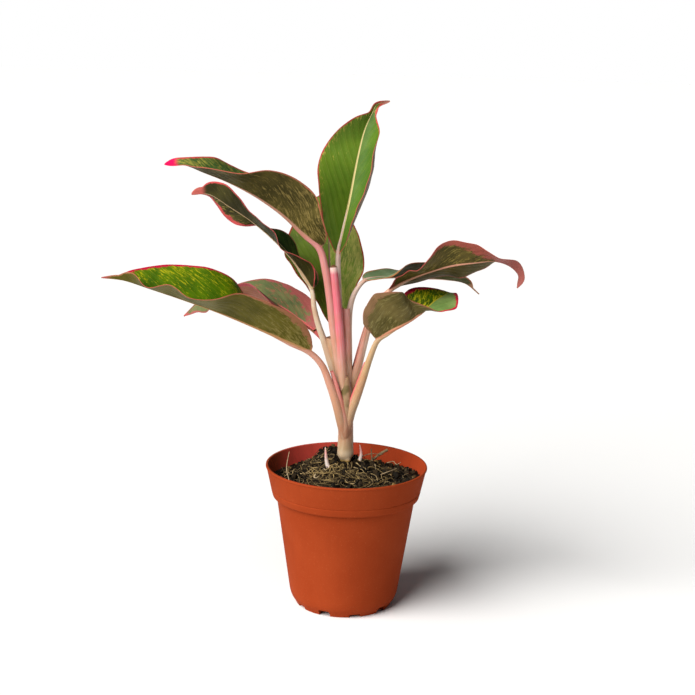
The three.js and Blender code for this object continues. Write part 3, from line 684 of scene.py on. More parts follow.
def cane_colour(f):
    """The cane's colour and its streaks, by place: pale tan skin, golden brown at its
    foot, pinker above, a painted highlight as a paler band over the swelling above the
    foot, and brown and mottled in the fork of the stalks."""
    place = f.place()
    z = f.parts(place)[2]
    cloud = f.noise(place, 110.0, 3)
    streak = f.noise(f.drawn_out(0.12), 700.0, 3)
    colour = f.layers(
        (0.44, 0.3, 0.165),
        (z, 0.102, 0.116, 1, (0.5, 0.22, 0.13)),
        # painted highlight: a paler band, at half strength, over the swelling above the foot
        (z, 0.104, 0.1, 0.5, (0.6, 0.5, 0.36)),
        (streak, 0.45, 0.7, 0.4, (0.58, 0.44, 0.3)),
        (cloud, 0.5, 0.75, 0.5, (0.36, 0.22, 0.11)),
        (z, 0.118, 0.13, 1, (0.4, 0.24, 0.13)),
    )
    mottled = f.times(f.ramp(cloud, 0.5, 0.66), f.ramp(z, 0.12, 0.13))
    colour = f.mix(mottled, colour, (0.17, 0.12, 0.04))
    return f.layers(colour, (z, 0.097, 0.0945, 1, (0.38, 0.23, 0.06))), streak


# A stalk's colours at its foot and at its head, and its sheath's own and its margin's.
STALK_LOOKS = {
    "lower_left": ((0.52, 0.32, 0.18), (0.6, 0.27, 0.18), (0.64, 0.2, 0.17), (0.6, 0.09, 0.11)),
    "lower_right": ((0.5, 0.3, 0.17), (0.47, 0.29, 0.14), (0.62, 0.23, 0.18), (0.66, 0.1, 0.12)),
    "upper_left": ((0.52, 0.3, 0.18), (0.62, 0.22, 0.2), (0.66, 0.13, 0.17), (0.66, 0.05, 0.11)),
    "upper_right": ((0.55, 0.34, 0.2), (0.72, 0.48, 0.38), (0.68, 0.34, 0.26), (0.6, 0.22, 0.18)),
    "mid_right": ((0.55, 0.32, 0.2), (0.72, 0.52, 0.42), (0.72, 0.28, 0.24), (0.62, 0.3, 0.24)),
    "mid_left": ((0.54, 0.34, 0.19), (0.7, 0.56, 0.4), (0.48, 0.29, 0.16), (0.52, 0.28, 0.17)),
    "top": ((0.68, 0.36, 0.3), (0.76, 0.56, 0.48)),
    "low_back_left": ((0.48, 0.28, 0.16), (0.6, 0.08, 0.08)),
    "back": ((0.48, 0.3, 0.18), (0.48, 0.32, 0.22)),
}


def stalk_finish(name):
    """A fleshy stalk with fine long streaks, which takes the cane's colour at its foot.
    stalk_place holds the share of the length, the share of the way round, and 1 at the
    thin margin of the sheath; stalk_part holds 1 on the sheath, and 1 at the pale point of
    the rolled leaf."""
    foot, head, *sheath = STALK_LOOKS[name]
    wrap, rim = sheath or (foot, foot)
    f = Finish(
        "stalk_" + name, roughness=0.45, specular=0.22,
        subsurface_weight=0.12, subsurface_radius=(0.003, 0.0012, 0.0008),
    )
    share, turn, edge = f.own("stalk_place")
    part, end, _ = f.own("stalk_part")
    round_about = f.vector(f.times(share, 3.0), f.times(turn, 22.0), list(LEAVES).index(name))
    streak = f.noise(round_about, 1.6, 4, 0.6)
    cloud = f.noise(f.place(), 60.0, 2)
    pore = f.noise(f.place(), 900.0, 2)
    plain = f.layers(foot, (share, 0.1, 0.75, 1, head))
    wrapped = f.layers(foot, (share, 0.12, 0.55, 1, wrap))
    pale = tuple(0.5 * c + 0.32 for c in head)
    deep = tuple(c * k for c, k in zip(foot, (0.9, 0.66, 0.55)))
    colour = f.layers(
        f.mix(part, plain, wrapped),
        (streak, 0.42, 0.75, 0.5, pale),
        (cloud, 0.4, 0.7, 0.5, deep),
        (edge, 0.3, 0.95, 1, rim),
        (end, 0.2, 0.75, 1, (0.75, 0.5, 0.45)),
        (end, 0.88, 0.96, 1, (0.16, 0.07, 0.03)),
        (f.parts(f.place())[2], 0.134, 0.11, 1, cane_colour(f)[0]),
    )
    return f.finish(colour, f.plus(streak, f.times(pore, 0.3)), 0.1)


# ------------------------------------------------------------------------------ leaves

BLADE_ROWS = 170
BLADE_HALF = 36  # columns in each half
BLADE_THICKNESS = 0.5
MARGIN_THICKNESS = 0.3
CREASE = 0.7  # rounding of the fold at the midrib
VEIN_SPACING = 9.0
VEIN_DEPTH = 0.1
WAVE_HEIGHT = 0.35
WAVE_LENGTH = 17
GROOVE_DEPTH = 0.3
GROOVE_WIDTH = 0.8
RIDGE_HEIGHT = 0.9
RIDGE_WIDTH = 1.6


def half_width(leaf, u):
    """Half width of a blade: a body that swells as u^full and falls as (1 - u)^sharp,
    blended with a thin drawn-out tip, and a short neck added to both."""
    x = np.minimum(u / leaf.get("end", 0.93), 1)
    peak = leaf["full"] / (leaf["full"] + leaf["sharp"])
    body = leaf["width"] * (x / peak) ** leaf["full"] * ((1 - x) / (1 - peak)) ** leaf["sharp"]
    tip = 0.4 + leaf["tip"] * u**2 * (1 - u) ** 0.87
    neck = 1.6 * (1 - u) ** 8
    return (body**4 + tip**4) ** 0.25 + neck


def blade(name):
    """The leaf's blade. Across each half, at t from 0 to 1, the upper face is an arc that
    starts at the fold angle and bends on by the curl, with width w:
        out = w / curl * (sin(fold + curl t) - sin(fold)),
        rise = -w / curl * (cos(fold + curl t) - cos(fold)).
    The crease at the midrib is rounded, the skin sinks a little along the veins, the
    margin waves a little, and the lower face lies a thickness below, with a rounded ridge
    under the midrib."""
    leaf = LEAVES[name]
    look = {**LEAF_LOOK, **LEAF_LOOKS[name]}
    v = np.linspace(0, 1, BLADE_ROWS)
    share = 0.6 * v + 0.4 * (0.5 - 0.5 * np.cos(math.pi * v))
    centre, tangent, length = run_along(leaf["rib"], share)
    up, side = sections(tangent, leaf.get("facing", UP))
    u = share[:, None]
    j = np.linspace(-1, 1, 2 * BLADE_HALF + 1)[None, :]
    t = np.abs(j) ** 1.3
    sign = np.where(j > 0, 1.0, -1.0)

    def halves(left, right):
        return np.where(j > 0, stations(right, share)[:, None], stations(left, share)[:, None])

    wide = halves(leaf.get("left_wide", [1, 1]), leaf.get("right_wide", [1, 1]))
    w = half_width(leaf, share)[:, None] * wide
    fold = np.radians(halves(leaf["left"], leaf["right"]))
    curl = np.radians(halves([0, 0], leaf.get("curl", [0, 0])))
    curl = np.where(np.abs(curl) < 1e-5, 1e-5, curl)
    out = w / curl * (np.sin(fold + curl * t) - np.sin(fold))
    rise = -w / curl * (np.cos(fold + curl * t) - np.cos(fold))
    across = t * w
    rise = rise * (np.sqrt(across**2 + CREASE**2) - CREASE) / np.maximum(across, 1e-6)
    ahead = leaf.get("sweep", 0) * w * t**2 * (1 - u)
    upper = (
        centre[:, None]
        + side[:, None] * (sign * out)[..., None]
        + up[:, None] * rise[..., None]
        + tangent[:, None] * ahead[..., None]
    )
    normal = unit(np.cross(np.gradient(upper, axis=1), np.gradient(upper, axis=0)))
    # veins leave the midrib steeply and arch towards the tip
    vein = u * length - 1.5 * across - 0.02 * across**2 + 0 * j
    ribbed = smooth(1, 4, across) * (1 - t**4)
    veins = VEIN_DEPTH * np.cos(TURN * vein / VEIN_SPACING) * ribbed
    waves = ripple(u * length, across * sign, WAVE_LENGTH, list(LEAVES).index(name))
    groove = GROOVE_DEPTH * bell(across, GROOVE_WIDTH) * (1 - u)
    upper = upper + normal * (veins + WAVE_HEIGHT * t**3 * waves - groove)[..., None]
    ridge = np.sqrt(np.clip(1 - (across / (RIDGE_WIDTH * (1 - 0.7 * u))) ** 2, 0, 1))
    ridge = (RIDGE_HEIGHT * (1 - u) ** 1.2 + 0.15) * ridge
    thickness = BLADE_THICKNESS - (BLADE_THICKNESS - MARGIN_THICKNESS) * t**6 + ridge
    lower = upper - normal * thickness[..., None]
    rings = np.concatenate([upper, lower[:, ::-1]], axis=1)
    inward = w - across
    flat = 0 * across
    place = np.stack([u * length + flat, across * sign, inward], -1)
    form = np.stack([u + flat, vein, flat], -1)
    fall = 0.25 + 0.75 * np.exp(-inward / look["fleck_fall"])
    edge = np.stack([halves(*look["edge"]), halves(*look["flecks"]) * fall, flat], -1)
    under_edge = [halves(*look["under_edge"]), halves(*look["under_flecks"]), flat]
    pairs = {
        "leaf_place": (place, place),
        "leaf_form": (form, form + (0, 0, 1)),
        "leaf_edge": (edge, np.stack(under_edge, -1)),
    }
    values = {key: np.concatenate([top, low[:, ::-1]], 1) for key, (top, low) in pairs.items()}
    node = f"leaf_{name}_blade"
    return build(node + "_skin", [(rings, values)], leaf_finish(name), [node], 60)


def sheath_rings(leaf, rows=56, half=20):
    """A sheath: a thin shell round its centre line, open along a slit that faces the way
    that open says. It grows out of the bundle at its foot. The slit widens to the top,
    where the shell ends in a thin lip, and the wall thins to its two margins."""
    u = np.linspace(0, 1, rows)
    centre, tangent, _ = run_along(leaf["sheath"], u)
    first, last = leaf["sheath_thick"]
    radius = (first + (last - first) * u + 0.3) * (0.72 + 0.28 * smooth(0, 0.3, u))
    slit = np.radians(14 + 60 * u**1.6)[:, None]
    k = np.linspace(0, 1, half)[None, :]
    a = slit + (TURN - 2 * slit) * k
    margin = np.minimum(k, 1 - k) * 2
    wall = (0.35 + 1.1 * margin**0.7) * (1 - 0.6 * smooth(0.75, 1, u))[:, None]
    r = radius[:, None] + 0 * k
    outer = np.concatenate([a, a[:, ::-1]], 1)
    reach = np.concatenate([r, (r - wall)[:, ::-1]], 1)
    around = about(*sections(tangent, leaf["open"]), outer)
    rings = centre[:, None] + around * reach[..., None]
    shown = smooth(0.25, 0.5, u)[:, None]
    flag = smooth(0.26, 0.0, margin) * shown
    flag = np.maximum(flag, smooth(0.97, 1.0, u)[:, None] * 0.6)
    flag = np.concatenate([flag, np.maximum(flag[:, ::-1], 0.5 * shown)], 1)
    share = np.broadcast_to(u[:, None], outer.shape)
    return rings, np.stack([share, outer / TURN, flag], -1)


def spear_rings(leaf, rows=90, columns=30):
    """The rolled leaf: a closed tube with a blunt pointed end and a low seam along the
    side that open names."""
    first, last = leaf["sheath_thick"]
    path = [(CANE["x"] - 1, CANE["y"] - 4, leaf["sheath"][0][2] - 14), *leaf["sheath"]]
    rings, u, a = tube(
        path, lambda u: first + 0.2 + (last - first) * u**2, rows, columns, leaf["open"],
        (False, True),
    )
    seam = np.minimum(a, TURN - a)[None, :] + 0 * u[:, None]
    rings = swell(rings, 1 + 0.1 * bell(seam, 0.18))
    share = np.broadcast_to(u[:, None], seam.shape)
    flag = smooth(0.7, 0.1, seam) * smooth(0.1, 0.5, share)
    return rings, np.stack([share, np.broadcast_to(a, seam.shape) / TURN, flag], -1)


def stalk(name):
    """The leaf's stalk: a tube that starts inside the bundle, thickens from its foot,
    narrows to the blade and runs on under it as the root of its midrib, with a shallow
    channel on the side that its sheath opens; and the sheath round its lower part."""
    leaf = LEAVES[name]
    first, last = leaf["thick"]
    on = np.array([0.05, 0.1, 0.15, 0.2, 0.27])  # shares of the midrib
    centre, tangent, _ = run_along(leaf["rib"], on)
    up, _ = sections(tangent, leaf.get("facing", UP))
    ridge = last * (1 - on / on[4]) ** 0.8 * 0.75 + 0.35
    under = centre - up * (ridge * 0.75 + 0.1)[:, None]
    stem = np.asarray(leaf["stalk"], float)
    seat = [(CANE["x"], CANE["y"] + 0.5, stem[0, 2] - 14)] if "seated" in leaf else []
    bend = 0.7 * stem[-1] + 0.14 * stem[-2] + 0.16 * under[1]
    path = np.vstack([*seat, stem[:-1], bend, under[1:]])
    joint = run_along(np.vstack([*seat, stem]), [0.0])[2] / run_along(path, [0.0])[2]
    foot = 0.2  # the share of the stalk over which it thickens
    at = [0, foot * joint, joint, *(joint + (1 - joint) * on[:4] / on[4]), 1]
    thick = [0.8 * first, first + (last - first) * foot, last, *ridge[:4], 0.3]
    towards = leaf.get("open", (0.5, -0.5, 0.3))
    rings, u, a = tube(
        path, lambda u: np.interp(u, at, thick), 110, 28, towards, (False, True)
    )
    rings = swell(rings, 1 - 0.16 * bell(np.minimum(a, TURN - a), 0.5)[None, :])
    turn = np.broadcast_to(a / TURN, rings.shape[:2])
    share = np.broadcast_to(np.clip(u / joint, 0, 1)[:, None], turn.shape)
    values = {"stalk_place": np.stack([share, turn, 0 * turn], -1)}
    values["stalk_part"] = np.zeros((*turn.shape, 3))
    shells = [(rings, values)]
    if "sheath" in leaf:
        shell, place = spear_rings(leaf) if "rolled" in leaf else sheath_rings(leaf)
        part = np.zeros_like(place)
        part[..., 0] = 1
        if "rolled" in leaf:
            part[..., 1] = smooth(0.9, 1, place[..., 0])
        shells.append((shell, {"stalk_place": place, "stalk_part": part}))
    node = f"leaf_{name}_stalk"
    return build(node + "_skin", shells, stalk_finish(name), [node])


# -------------------------------------------------------------------------------- cane


def cane_finish():
    """The cane's skin, glossy and faintly streaked."""
    f = Finish(
        "cane", roughness=0.4, specular=0.35,
        subsurface_weight=0.1, subsurface_radius=(0.003, 0.0015, 0.001),
    )
    colour, streak = cane_colour(f)
    return f.finish(colour, streak, 0.12)


def cane():
    """The cane: rings at its stations, eased between them, with low ridges at the scars
    of old leaves, a swelling above its narrow foot and a small knob. A collar wraps the
    stalks above it: a tube whose radius swells and narrows again."""
    heights, radii = np.transpose(CANE["stations"])
    z = np.linspace(heights[0], heights[-1], 120)
    r = np.interp(z, heights, radii)
    r = np.convolve(np.pad(r, 4, "edge"), np.ones(9) / 9, "valid")
    more, at, width = CANE["swelling"]
    less, start, full = CANE["foot"]
    r += more * bell(z - at, width) - less * smooth(start, full, z)
    ridge, ridge_width = CANE["scar"]
    for scar in CANE["scars"]:
        r += ridge * bell(z - scar, ridge_width)
    a, z = full_turn(48), z[:, None]
    out, at, width, angle, spread = CANE["knob"]
    knob = out * bell(z - at, width) * bell(a - angle, spread)
    reach = r[:, None] + knob + 0.12 * ripple(a * 4, z, 9, 3)
    rings = turned(reach, a, z) + (CANE["x"], CANE["y"], 0)
    collar, _, _ = tube(
        CANE["collar"], lambda u: 4.1 + 0.5 * np.sin(math.pi * u) - 1.6 * u**2, 50, 36, (0, -1, 0.1)
    )
    shells = [(rings, {}), (collar, {})]
    return build("cane_skin", shells, cane_finish(), ["cane"])


# --------------------------------------------------------------------------------- pot


def pot_finish():
    """Moulded terracotta-coloured plastic, satin, with a fine speckle and faint long
    streaks from the mould. The inside has painted light: it is painted brighter and redder
    for light shining through the plastic, most of all a little in from the left."""
    f = Finish("pot_plastic", specular=0.03)
    place = f.place()
    speckle = f.noise(place, 1300.0, 2, 0.6)
    cloud = f.noise(place, 28.0, 3)
    streak = f.noise(f.drawn_out(0.08), 260.0, 2)
    x, y, z = f.parts(place)
    radius = f.node("VectorMath", {0: f.vector(x, y)}, operation="LENGTH").outputs["Value"]
    slope = wall_radius(1) - wall_radius(0)
    wall = f.plus(f.times(z, slope), wall_radius(0) * MM)
    inside = f.times(f.ramp(f.less(radius, wall), 0.0008, 0.0004), f.ramp(z, 0.0735, 0.0745))
    # painted light: the inside wall is painted brighter and redder for light shining through the
    # plastic, brightest a little in from the left, darker at the right and at the far left
    painted_inner_glow = f.layers(
        (0.58, 0.07, 0.05),
        (x, -0.02, 0.02, 1, (0.34, 0.045, 0.013)),
        (x, -0.038, -0.048, 1, (0.3, 0.06, 0.025)),
    )
    outer = f.layers((0.3, 0.045, 0.011), (cloud, 0.3, 0.7, 1, (0.27, 0.038, 0.009)))
    colour = f.layers(
        f.mix(inside, outer, painted_inner_glow),
        (speckle, 0.6, 0.74, 0.45, (0.4, 0.09, 0.03)),
        (streak, 0.5, 0.75, 0.2, (0.24, 0.034, 0.009)),
    )
    gloss = f.ramp(cloud, 0.3, 0.7, 0.7, 0.8)
    return f.finish(colour, f.plus(speckle, streak), 0.05, gloss)


def rounded_profile(corners, steps=5):
    """A profile through corners, each rounded: radius, height and rounding. The rounding
    is a quadratic arc that leaves each side that far from the corner."""
    points = np.array([c[:2] for c in corners], float)
    out = [points[0]]
    for k in range(1, len(points) - 1):
        here, before, after = points[k], points[k - 1], points[k + 1]
        back, on = before - here, after - here
        reach = min(corners[k][2], 0.45 * np.linalg.norm(back), 0.45 * np.linalg.norm(on))
        a = here + back / np.linalg.norm(back) * reach
        b = here + on / np.linalg.norm(on) * reach
        s = np.linspace(0, 1, steps)[:, None]
        out += list((1 - s) ** 2 * a + 2 * s * (1 - s) * here + s**2 * b)
    out.append(points[-1])
    return np.array(out)


def pot():
    """The pot: a rounded profile carried round its axis, and ten notches cut in its foot
    ring, every other one deep enough to open a drain hole."""
    p = POT
    rim, band, body, heel, foot, boss = (
        p[key + "_radius"] for key in ("rim", "band", "body", "heel", "foot", "boss")
    )
    top, low, line, floor, wall = (
        p[key] for key in ("height", "band_bottom", "band_line", "floor", "wall")
    )
    lip = top - p["lip_height"]
    at_line = band + (rim - 0.5 - band) / (lip - low) * (line - low)
    inner_foot = foot - p["foot_width"]
    inside = floor + wall + 0.5
    profile = rounded_profile(
        [
            (0.02, 0, 0),
            (boss, 0, 0.5),
            (boss + 1, floor, 0.5),
            (inner_foot - 0.5, floor, 0.4),
            (inner_foot, 0, 0.4),
            (foot - 0.1, 0, 0.5),
            (foot + 0.5, 1.6, 0.6),
            (heel - 1.1, 5.2, 2.2),
            (heel, p["heel_height"], 2),
            (body, low - 0.3, 0.5),
            (band - 0.35, low, 0.3),
            (band, low + 0.5, 0.4),
            (at_line - 0.1, line - 0.6, 0.15),
            (at_line - 0.38, line - 0.1, 0.15),
            (at_line + 0.05, line + 0.3, 0.15),
            (rim - 0.5, lip, 0.25),
            (rim, lip + 0.2, 0.2),
            (rim, top, 0.55),
            (rim - p["lip_wall"], top, 0.55),
            (band - wall, p["ledge"], 0.6),
            (body - wall, low + 0.4, 0.6),
            (heel - wall, p["heel_height"] + 0.2, 2),
            (foot - 0.6, inside, 1.5),
            (0.02, inside, 0),
        ]
    )
    rings = turned(profile[:, 0, None], full_turn(240), profile[:, 1, None])
    made = build("pot_skin", [(rings, {})], pot_finish(), ["pot"], 35)
    shells = []
    for k in range(p["notches"]):
        depth = p["notch_depths"][k % 2]
        turn = math.radians(p["notch_phase"] + 360 * k / p["notches"])
        shells.append((notch_rings(turn, depth), {}))
    cutter = build("notch_cutter", shells, made.data.materials[0])
    notched = made.modifiers.new("notches", "BOOLEAN")
    notched.operation = "DIFFERENCE"
    notched.solver = "EXACT"
    notched.object = cutter
    evaluated = made.evaluated_get(bpy.context.evaluated_depsgraph_get())
    mesh = bpy.data.meshes.new_from_object(evaluated)
    made.modifiers.clear()
    made.data = mesh
    bpy.data.objects.remove(cutter)
    mesh.set_sharp_from_angle(angle=math.radians(35))
    return made


def notch_rings(turn, depth):
    """A notch's cutter: a block across the foot ring whose two upper edges are rounded,
    turned round the pot's axis."""
    p = POT
    half = p["notch_width"] / 2
    soft = p["notch_round"]
    a = np.linspace(0, math.pi / 2, 6)
    right = np.stack([half - soft + soft * np.cos(a), depth - soft + soft * np.sin(a)], -1)
    left = right[::-1] * (-1, 1)
    outline = np.concatenate([[(half, -2)], right, left, [(-half, -2)]])
    ends = np.array([p["foot_radius"] - 5, p["foot_radius"] + 7])
    x = np.broadcast_to(outline[:, 0], (2, len(outline)))
    z = np.broadcast_to(outline[:, 1], (2, len(outline)))
    y = -np.broadcast_to(ends[::-1, None], x.shape)
    c, s = math.cos(turn), math.sin(turn)
    return np.stack([x * c - y * s, x * s + y * c, z], -1)[::-1]


# -------------------------------------------------------------------------------- soil


def soil_top(x, y):
    """Height of the soil: level, with a mound under the cane, a heap behind it, a rise at
    either side and a hollow at the cane's foot, all bell-shaped, and crossing waves for
    the low lumps."""
    total = SOIL["level"] + 0 * x
    for height, cx, cy, width in (SOIL["mound"], SOIL["heap"], *SOIL["swells"]):
        total = total + height * np.exp(-((x - cx) ** 2 + (y - cy) ** 2) / (2 * width**2))
    waves = np.sin(x * 0.45 + 1) * np.cos(y * 0.5) + np.sin(x * 0.23 - y * 0.31 + 2)
    return total + SOIL["lump"] * waves


def wall_radius(z):
    """The pot's inner radius at height z, as its band slopes above the ledge inside it."""
    p = POT
    top, bottom = p["rim_radius"] - p["lip_wall"], p["band_radius"] - p["wall"]
    return bottom + (top - bottom) * (z - p["ledge"]) / (p["height"] - p["ledge"])


def soil_finish():
    """Moist peat: nearly black, with brown crumbs and paler dust on what stands out."""
    f = Finish("soil_peat", roughness=0.95, specular=0.15)
    place = f.place()
    cloud = f.noise(place, 90.0, 3)
    crumb = f.noise(place, 420.0, 5, 0.7)
    fleck = f.noise(place, 900.0, 3, 0.6)
    colour = f.layers(
        (0.005, 0.003, 0.001),
        (cloud, 0.35, 0.7, 1, (0.014, 0.008, 0.003)),
        (crumb, 0.5, 0.72, 1, (0.028, 0.016, 0.007)),
        (fleck, 0.69, 0.75, 0.6, (0.16, 0.1, 0.04)),
    )
    return f.finish(colour, f.plus(crumb, f.times(fleck, 0.5)), 1.2)


def soil():
    """The soil: rings from its foot up the pot's wall, and then in over the top, where
    ripples of three wavelengths make it crumbly."""
    p = POT
    a = full_turn(260)
    sides = [
        (p["foot_radius"] - 1.4, p["floor"] + p["wall"] + 0.9),
        (p["heel_radius"] - p["wall"] - 1.8, p["heel_height"]),
        (p["body_radius"] - p["wall"] - 1.0, p["band_bottom"] + 0.4),
    ]
    rows = [turned(r, a, z) for r, z in sides]
    share = np.linspace(1, 0.004, 95)[:, None]
    level = soil_top(49 * np.cos(a), 49 * np.sin(a))
    edge = wall_radius(level - 1) - 0.15
    x, y = edge * share * np.cos(a), edge * share * np.sin(a)
    crumbs = 0.8 * ripple(x, y, 5.5, 1) + 0.5 * ripple(x, y, 2.4, 2) + 0.3 * ripple(x, y, 1.2, 5)
    top = np.stack([x, y, soil_top(x, y) + crumbs - 0.5], -1)
    rings = np.concatenate([np.array(rows), top])
    return build("soil_surface", [(rings, {})], soil_finish(), ["soil"], 180)


def from_cane(x, y):
    """Distance from the cane's axis."""
    return np.hypot(x - CANE["x"], y - CANE["y"])


def crumb_rings(centre, size, rng):
    """A crumb of peat: a small ball of 5 rings whose radius varies at random, squashed
    and turned by seeded amounts."""
    rows, columns = 5, 7
    polar = np.linspace(0.15, math.pi - 0.15, rows)[:, None]
    r = size * rng.uniform(0.7, 1.25, (rows, columns))
    ball = turned(r * np.sin(polar), full_turn(columns), -r * np.cos(polar))
    turn = np.linalg.qr(rng.normal(size=(3, 3)))[0]
    if np.linalg.det(turn) < 0:
        turn[:, 0] *= -1
    return (ball * rng.uniform(0.6, 1.3, 3)) @ turn.T + centre


def crumb_finish():
    """Crumbs of peat, dark to brown by the tone of each, and a few pale bits of bark."""
    f = Finish("soil_crumbs", roughness=0.9, specular=0.2)
    tone = f.own("tone")[0]
    grain = f.noise(f.place(), 800.0, 3)
    colour = f.layers(
        (0.006, 0.004, 0.0015),
        (tone, 0.3, 0.9, 1, (0.03, 0.018, 0.007)),
        (tone, 0.93, 0.95, 1, (0.24, 0.15, 0.05)),
        (grain, 0.5, 0.75, 0.5, (0.035, 0.022, 0.01)),
    )
    return f.finish(colour, grain, 0.4)


def crumbs():
    """Loose crumbs of peat and bark, strewn over the soil by a seeded draw, but not by
    the wall or round the cane. They are a little larger at the right."""
    rng = np.random.default_rng(11)
    outermost, bare = 46.5, 5.5
    wall = wall_radius(SOIL["level"]) - 0.6
    shells = []
    while len(shells) < SOIL["crumbs"]:
        r = outermost * math.sqrt(rng.uniform(0.01, 1))
        a = rng.uniform(0, TURN)
        x, y = r * math.cos(a), r * math.sin(a)
        size = min(rng.gamma(2.2, 0.34 + 0.003 * x) + 0.25, 2.2)
        if r + size > wall or from_cane(x, y) < bare:
            continue
        z = float(soil_top(np.array(x), np.array(y))) + size * 0.3 - 0.3
        rings = crumb_rings((x, y, z), size, rng)
        shells.append((rings, {"tone": np.full(rings.shape, rng.uniform(0, 1))}))
    return build("soil_crumbs", shells, crumb_finish(), (), 40)


def fibre_finish(name, dark, pale):
    """Dry root or fibre, from dark to pale by the tone of each."""
    f = Finish(name, roughness=0.7, specular=0.25)
    tone = f.own("tone")[0]
    grain = f.noise(f.place(), 500.0, 3)
    shade = tuple(0.45 * c for c in dark)
    colour = f.layers(f.mix(tone, dark, pale), (grain, 0.45, 0.7, 0.6, shade))
    return f.finish(colour, grain, 0.15)


def on_soil(points, lift):
    """Points set on the soil's top, lift above it."""
    points = np.array(points, float)
    points[:, 2] = soil_top(points[:, 0], points[:, 1]) + lift
    return points


def strand(points, thick, tone, rows, columns):
    """A thin strand that tapers to its end, with its tone, from 0 for dark to 1."""
    rings, _, _ = tube(
        points, lambda u: thick * (1 - 0.6 * u), rows, columns, (0.3, 0.2, 1), (False, False)
    )
    return rings, {"tone": np.full(rings.shape, tone)}


def roots():
    """Roots that come out of the soil round the foot of the cane, most of them in front
    of it and to the left, and run down the mound, each with a seeded wander."""
    rng = np.random.default_rng(23)
    outermost = 45.5
    steps = np.linspace(0, 1, 9)
    shells = []
    for k in range(SOIL["roots"]):
        angle = math.radians(rng.normal(-115, 30) if k % 4 else rng.uniform(-170, 10))
        reach = rng.uniform(7, 28)
        thick = rng.uniform(0.2, 0.46)
        wander = np.cumsum(rng.normal(0, 0.22, 9))
        r = rng.uniform(5.3, 14) + steps * reach
        a = angle + wander * (0.3 + steps)
        points = turned(r, a, 0) + (CANE["x"], CANE["y"], 0)
        limit = outermost / np.maximum(np.hypot(points[:, 0], points[:, 1]), outermost)
        points = on_soil(points * limit[:, None], 0)
        points[:, 2] += thick + rng.uniform(-0.6, 2.2, 9)
        points[0, 2] -= 1.5
        shells.append(strand(points, thick, rng.uniform(0, 1) ** 1.6, 26, 6))
    finish = fibre_finish("root_skin", (0.03, 0.017, 0.006), (0.42, 0.29, 0.11))
    return build("roots", shells, finish, (), 180)


def fibres():
    """Short dry fibres strewn over the soil, but not over the heap or round the cane,
    some of them with an end in the air."""
    rng = np.random.default_rng(31)
    _, heap_x, heap_y, _ = SOIL["heap"]
    outermost, bare, heap_bare = 45.6, 5.6, 9
    steps = np.linspace(-0.5, 0.5, 5)
    shells = []
    while len(shells) < SOIL["fibres"]:
        r, a = 45 * math.sqrt(rng.uniform(0.02, 1)), rng.uniform(0, TURN)
        heading = rng.uniform(0, TURN)
        length = rng.uniform(3, 13)
        turn = heading + rng.normal(0, 1.5) * steps
        x = r * math.cos(a) + length * steps * np.cos(turn)
        y = r * math.sin(a) + length * steps * np.sin(turn)
        on_heap = np.hypot(x - heap_x, y - heap_y).min() < heap_bare
        if on_heap or np.hypot(x, y).max() > outermost or from_cane(x, y).min() < bare:
            continue
        points = on_soil(np.stack([x, y, 0 * x], -1), 0.5)
        points[:, 2] += rng.uniform(-0.5, 1.4, 5)
        if rng.uniform() < 0.12:
            points[:, 2] += np.linspace(0, rng.uniform(1.5, 4.5), 5)
        shells.append(strand(points, rng.uniform(0.12, 0.3), rng.uniform(0, 1) ** 2.4, 10, 5))
    finish = fibre_finish("fibre_skin", (0.03, 0.018, 0.007), (0.6, 0.43, 0.2))
    return build("soil_fibres", shells, finish, (), 180)


# Strands that show by themselves: their points, radius and tone. The first leans on the
# wall at the left, the third lies pale at the right, and the last two are pale curls.
STRAY = [
    ([(-33.7, -29, 83), (-36.5, -24, 90), (-38.2, -18, 96), (-37, -10, 104)], 0.42, 0.8),
    ([(18.4, 9, 91.5), (18.9, 5, 91.6), (18.9, 0, 90.8), (18.6, -5, 88)], 0.34, 0.7),
    ([(19, -7, 87.4), (23, -5, 88.8), (28, -1, 89.6), (33, 4, 90.3)], 0.4, 1),
    ([(27, 20, 89), (31, 17, 91), (33, 15, 89.6), (36, 16, 90.8)], 0.32, 0.8),
    ([(9, 12, 95), (16, 14, 96.8), (24, 17, 95.4)], 0.36, 0.7),
    ([(-19.6, -14, 90.6), (-20.6, -15.5, 89.2), (-19.2, -16.6, 88.8), (-17.6, -15.6, 89.8)],
     0.5, 1),
    ([(-14.6, -11, 93.4), (-13.4, -11.6, 92.8), (-12.4, -11, 93)], 0.35, 1),
]


def stray_strands():
    """The strands of STRAY, as thin tapering tubes."""
    shells = [strand(points, thick, tone, 24, 8) for points, thick, tone in STRAY]
    finish = fibre_finish("stray_skin", (0.15, 0.1, 0.055), (0.5, 0.38, 0.22))
    return build("stray_strands", shells, finish, (), 180)


def shoot_finish():
    """A young shoot: waxy white, flushed pink below its paler point."""
    f = Finish(
        "shoot", roughness=0.4, specular=0.45,
        subsurface_weight=0.15, subsurface_radius=(0.002, 0.001, 0.0008),
    )
    z = f.parts(f.place())[2]
    streak = f.noise(f.drawn_out(0.2), 900.0, 3)
    colour = f.layers(
        (0.62, 0.52, 0.46),
        (z, 0.096, 0.102, 1, (0.72, 0.33, 0.29)),
        (z, 0.102, 0.106, 1, (0.72, 0.56, 0.42)),
        (streak, 0.45, 0.7, 0.5, (0.56, 0.37, 0.34)),
    )
    return f.finish(colour, streak, 0.1)


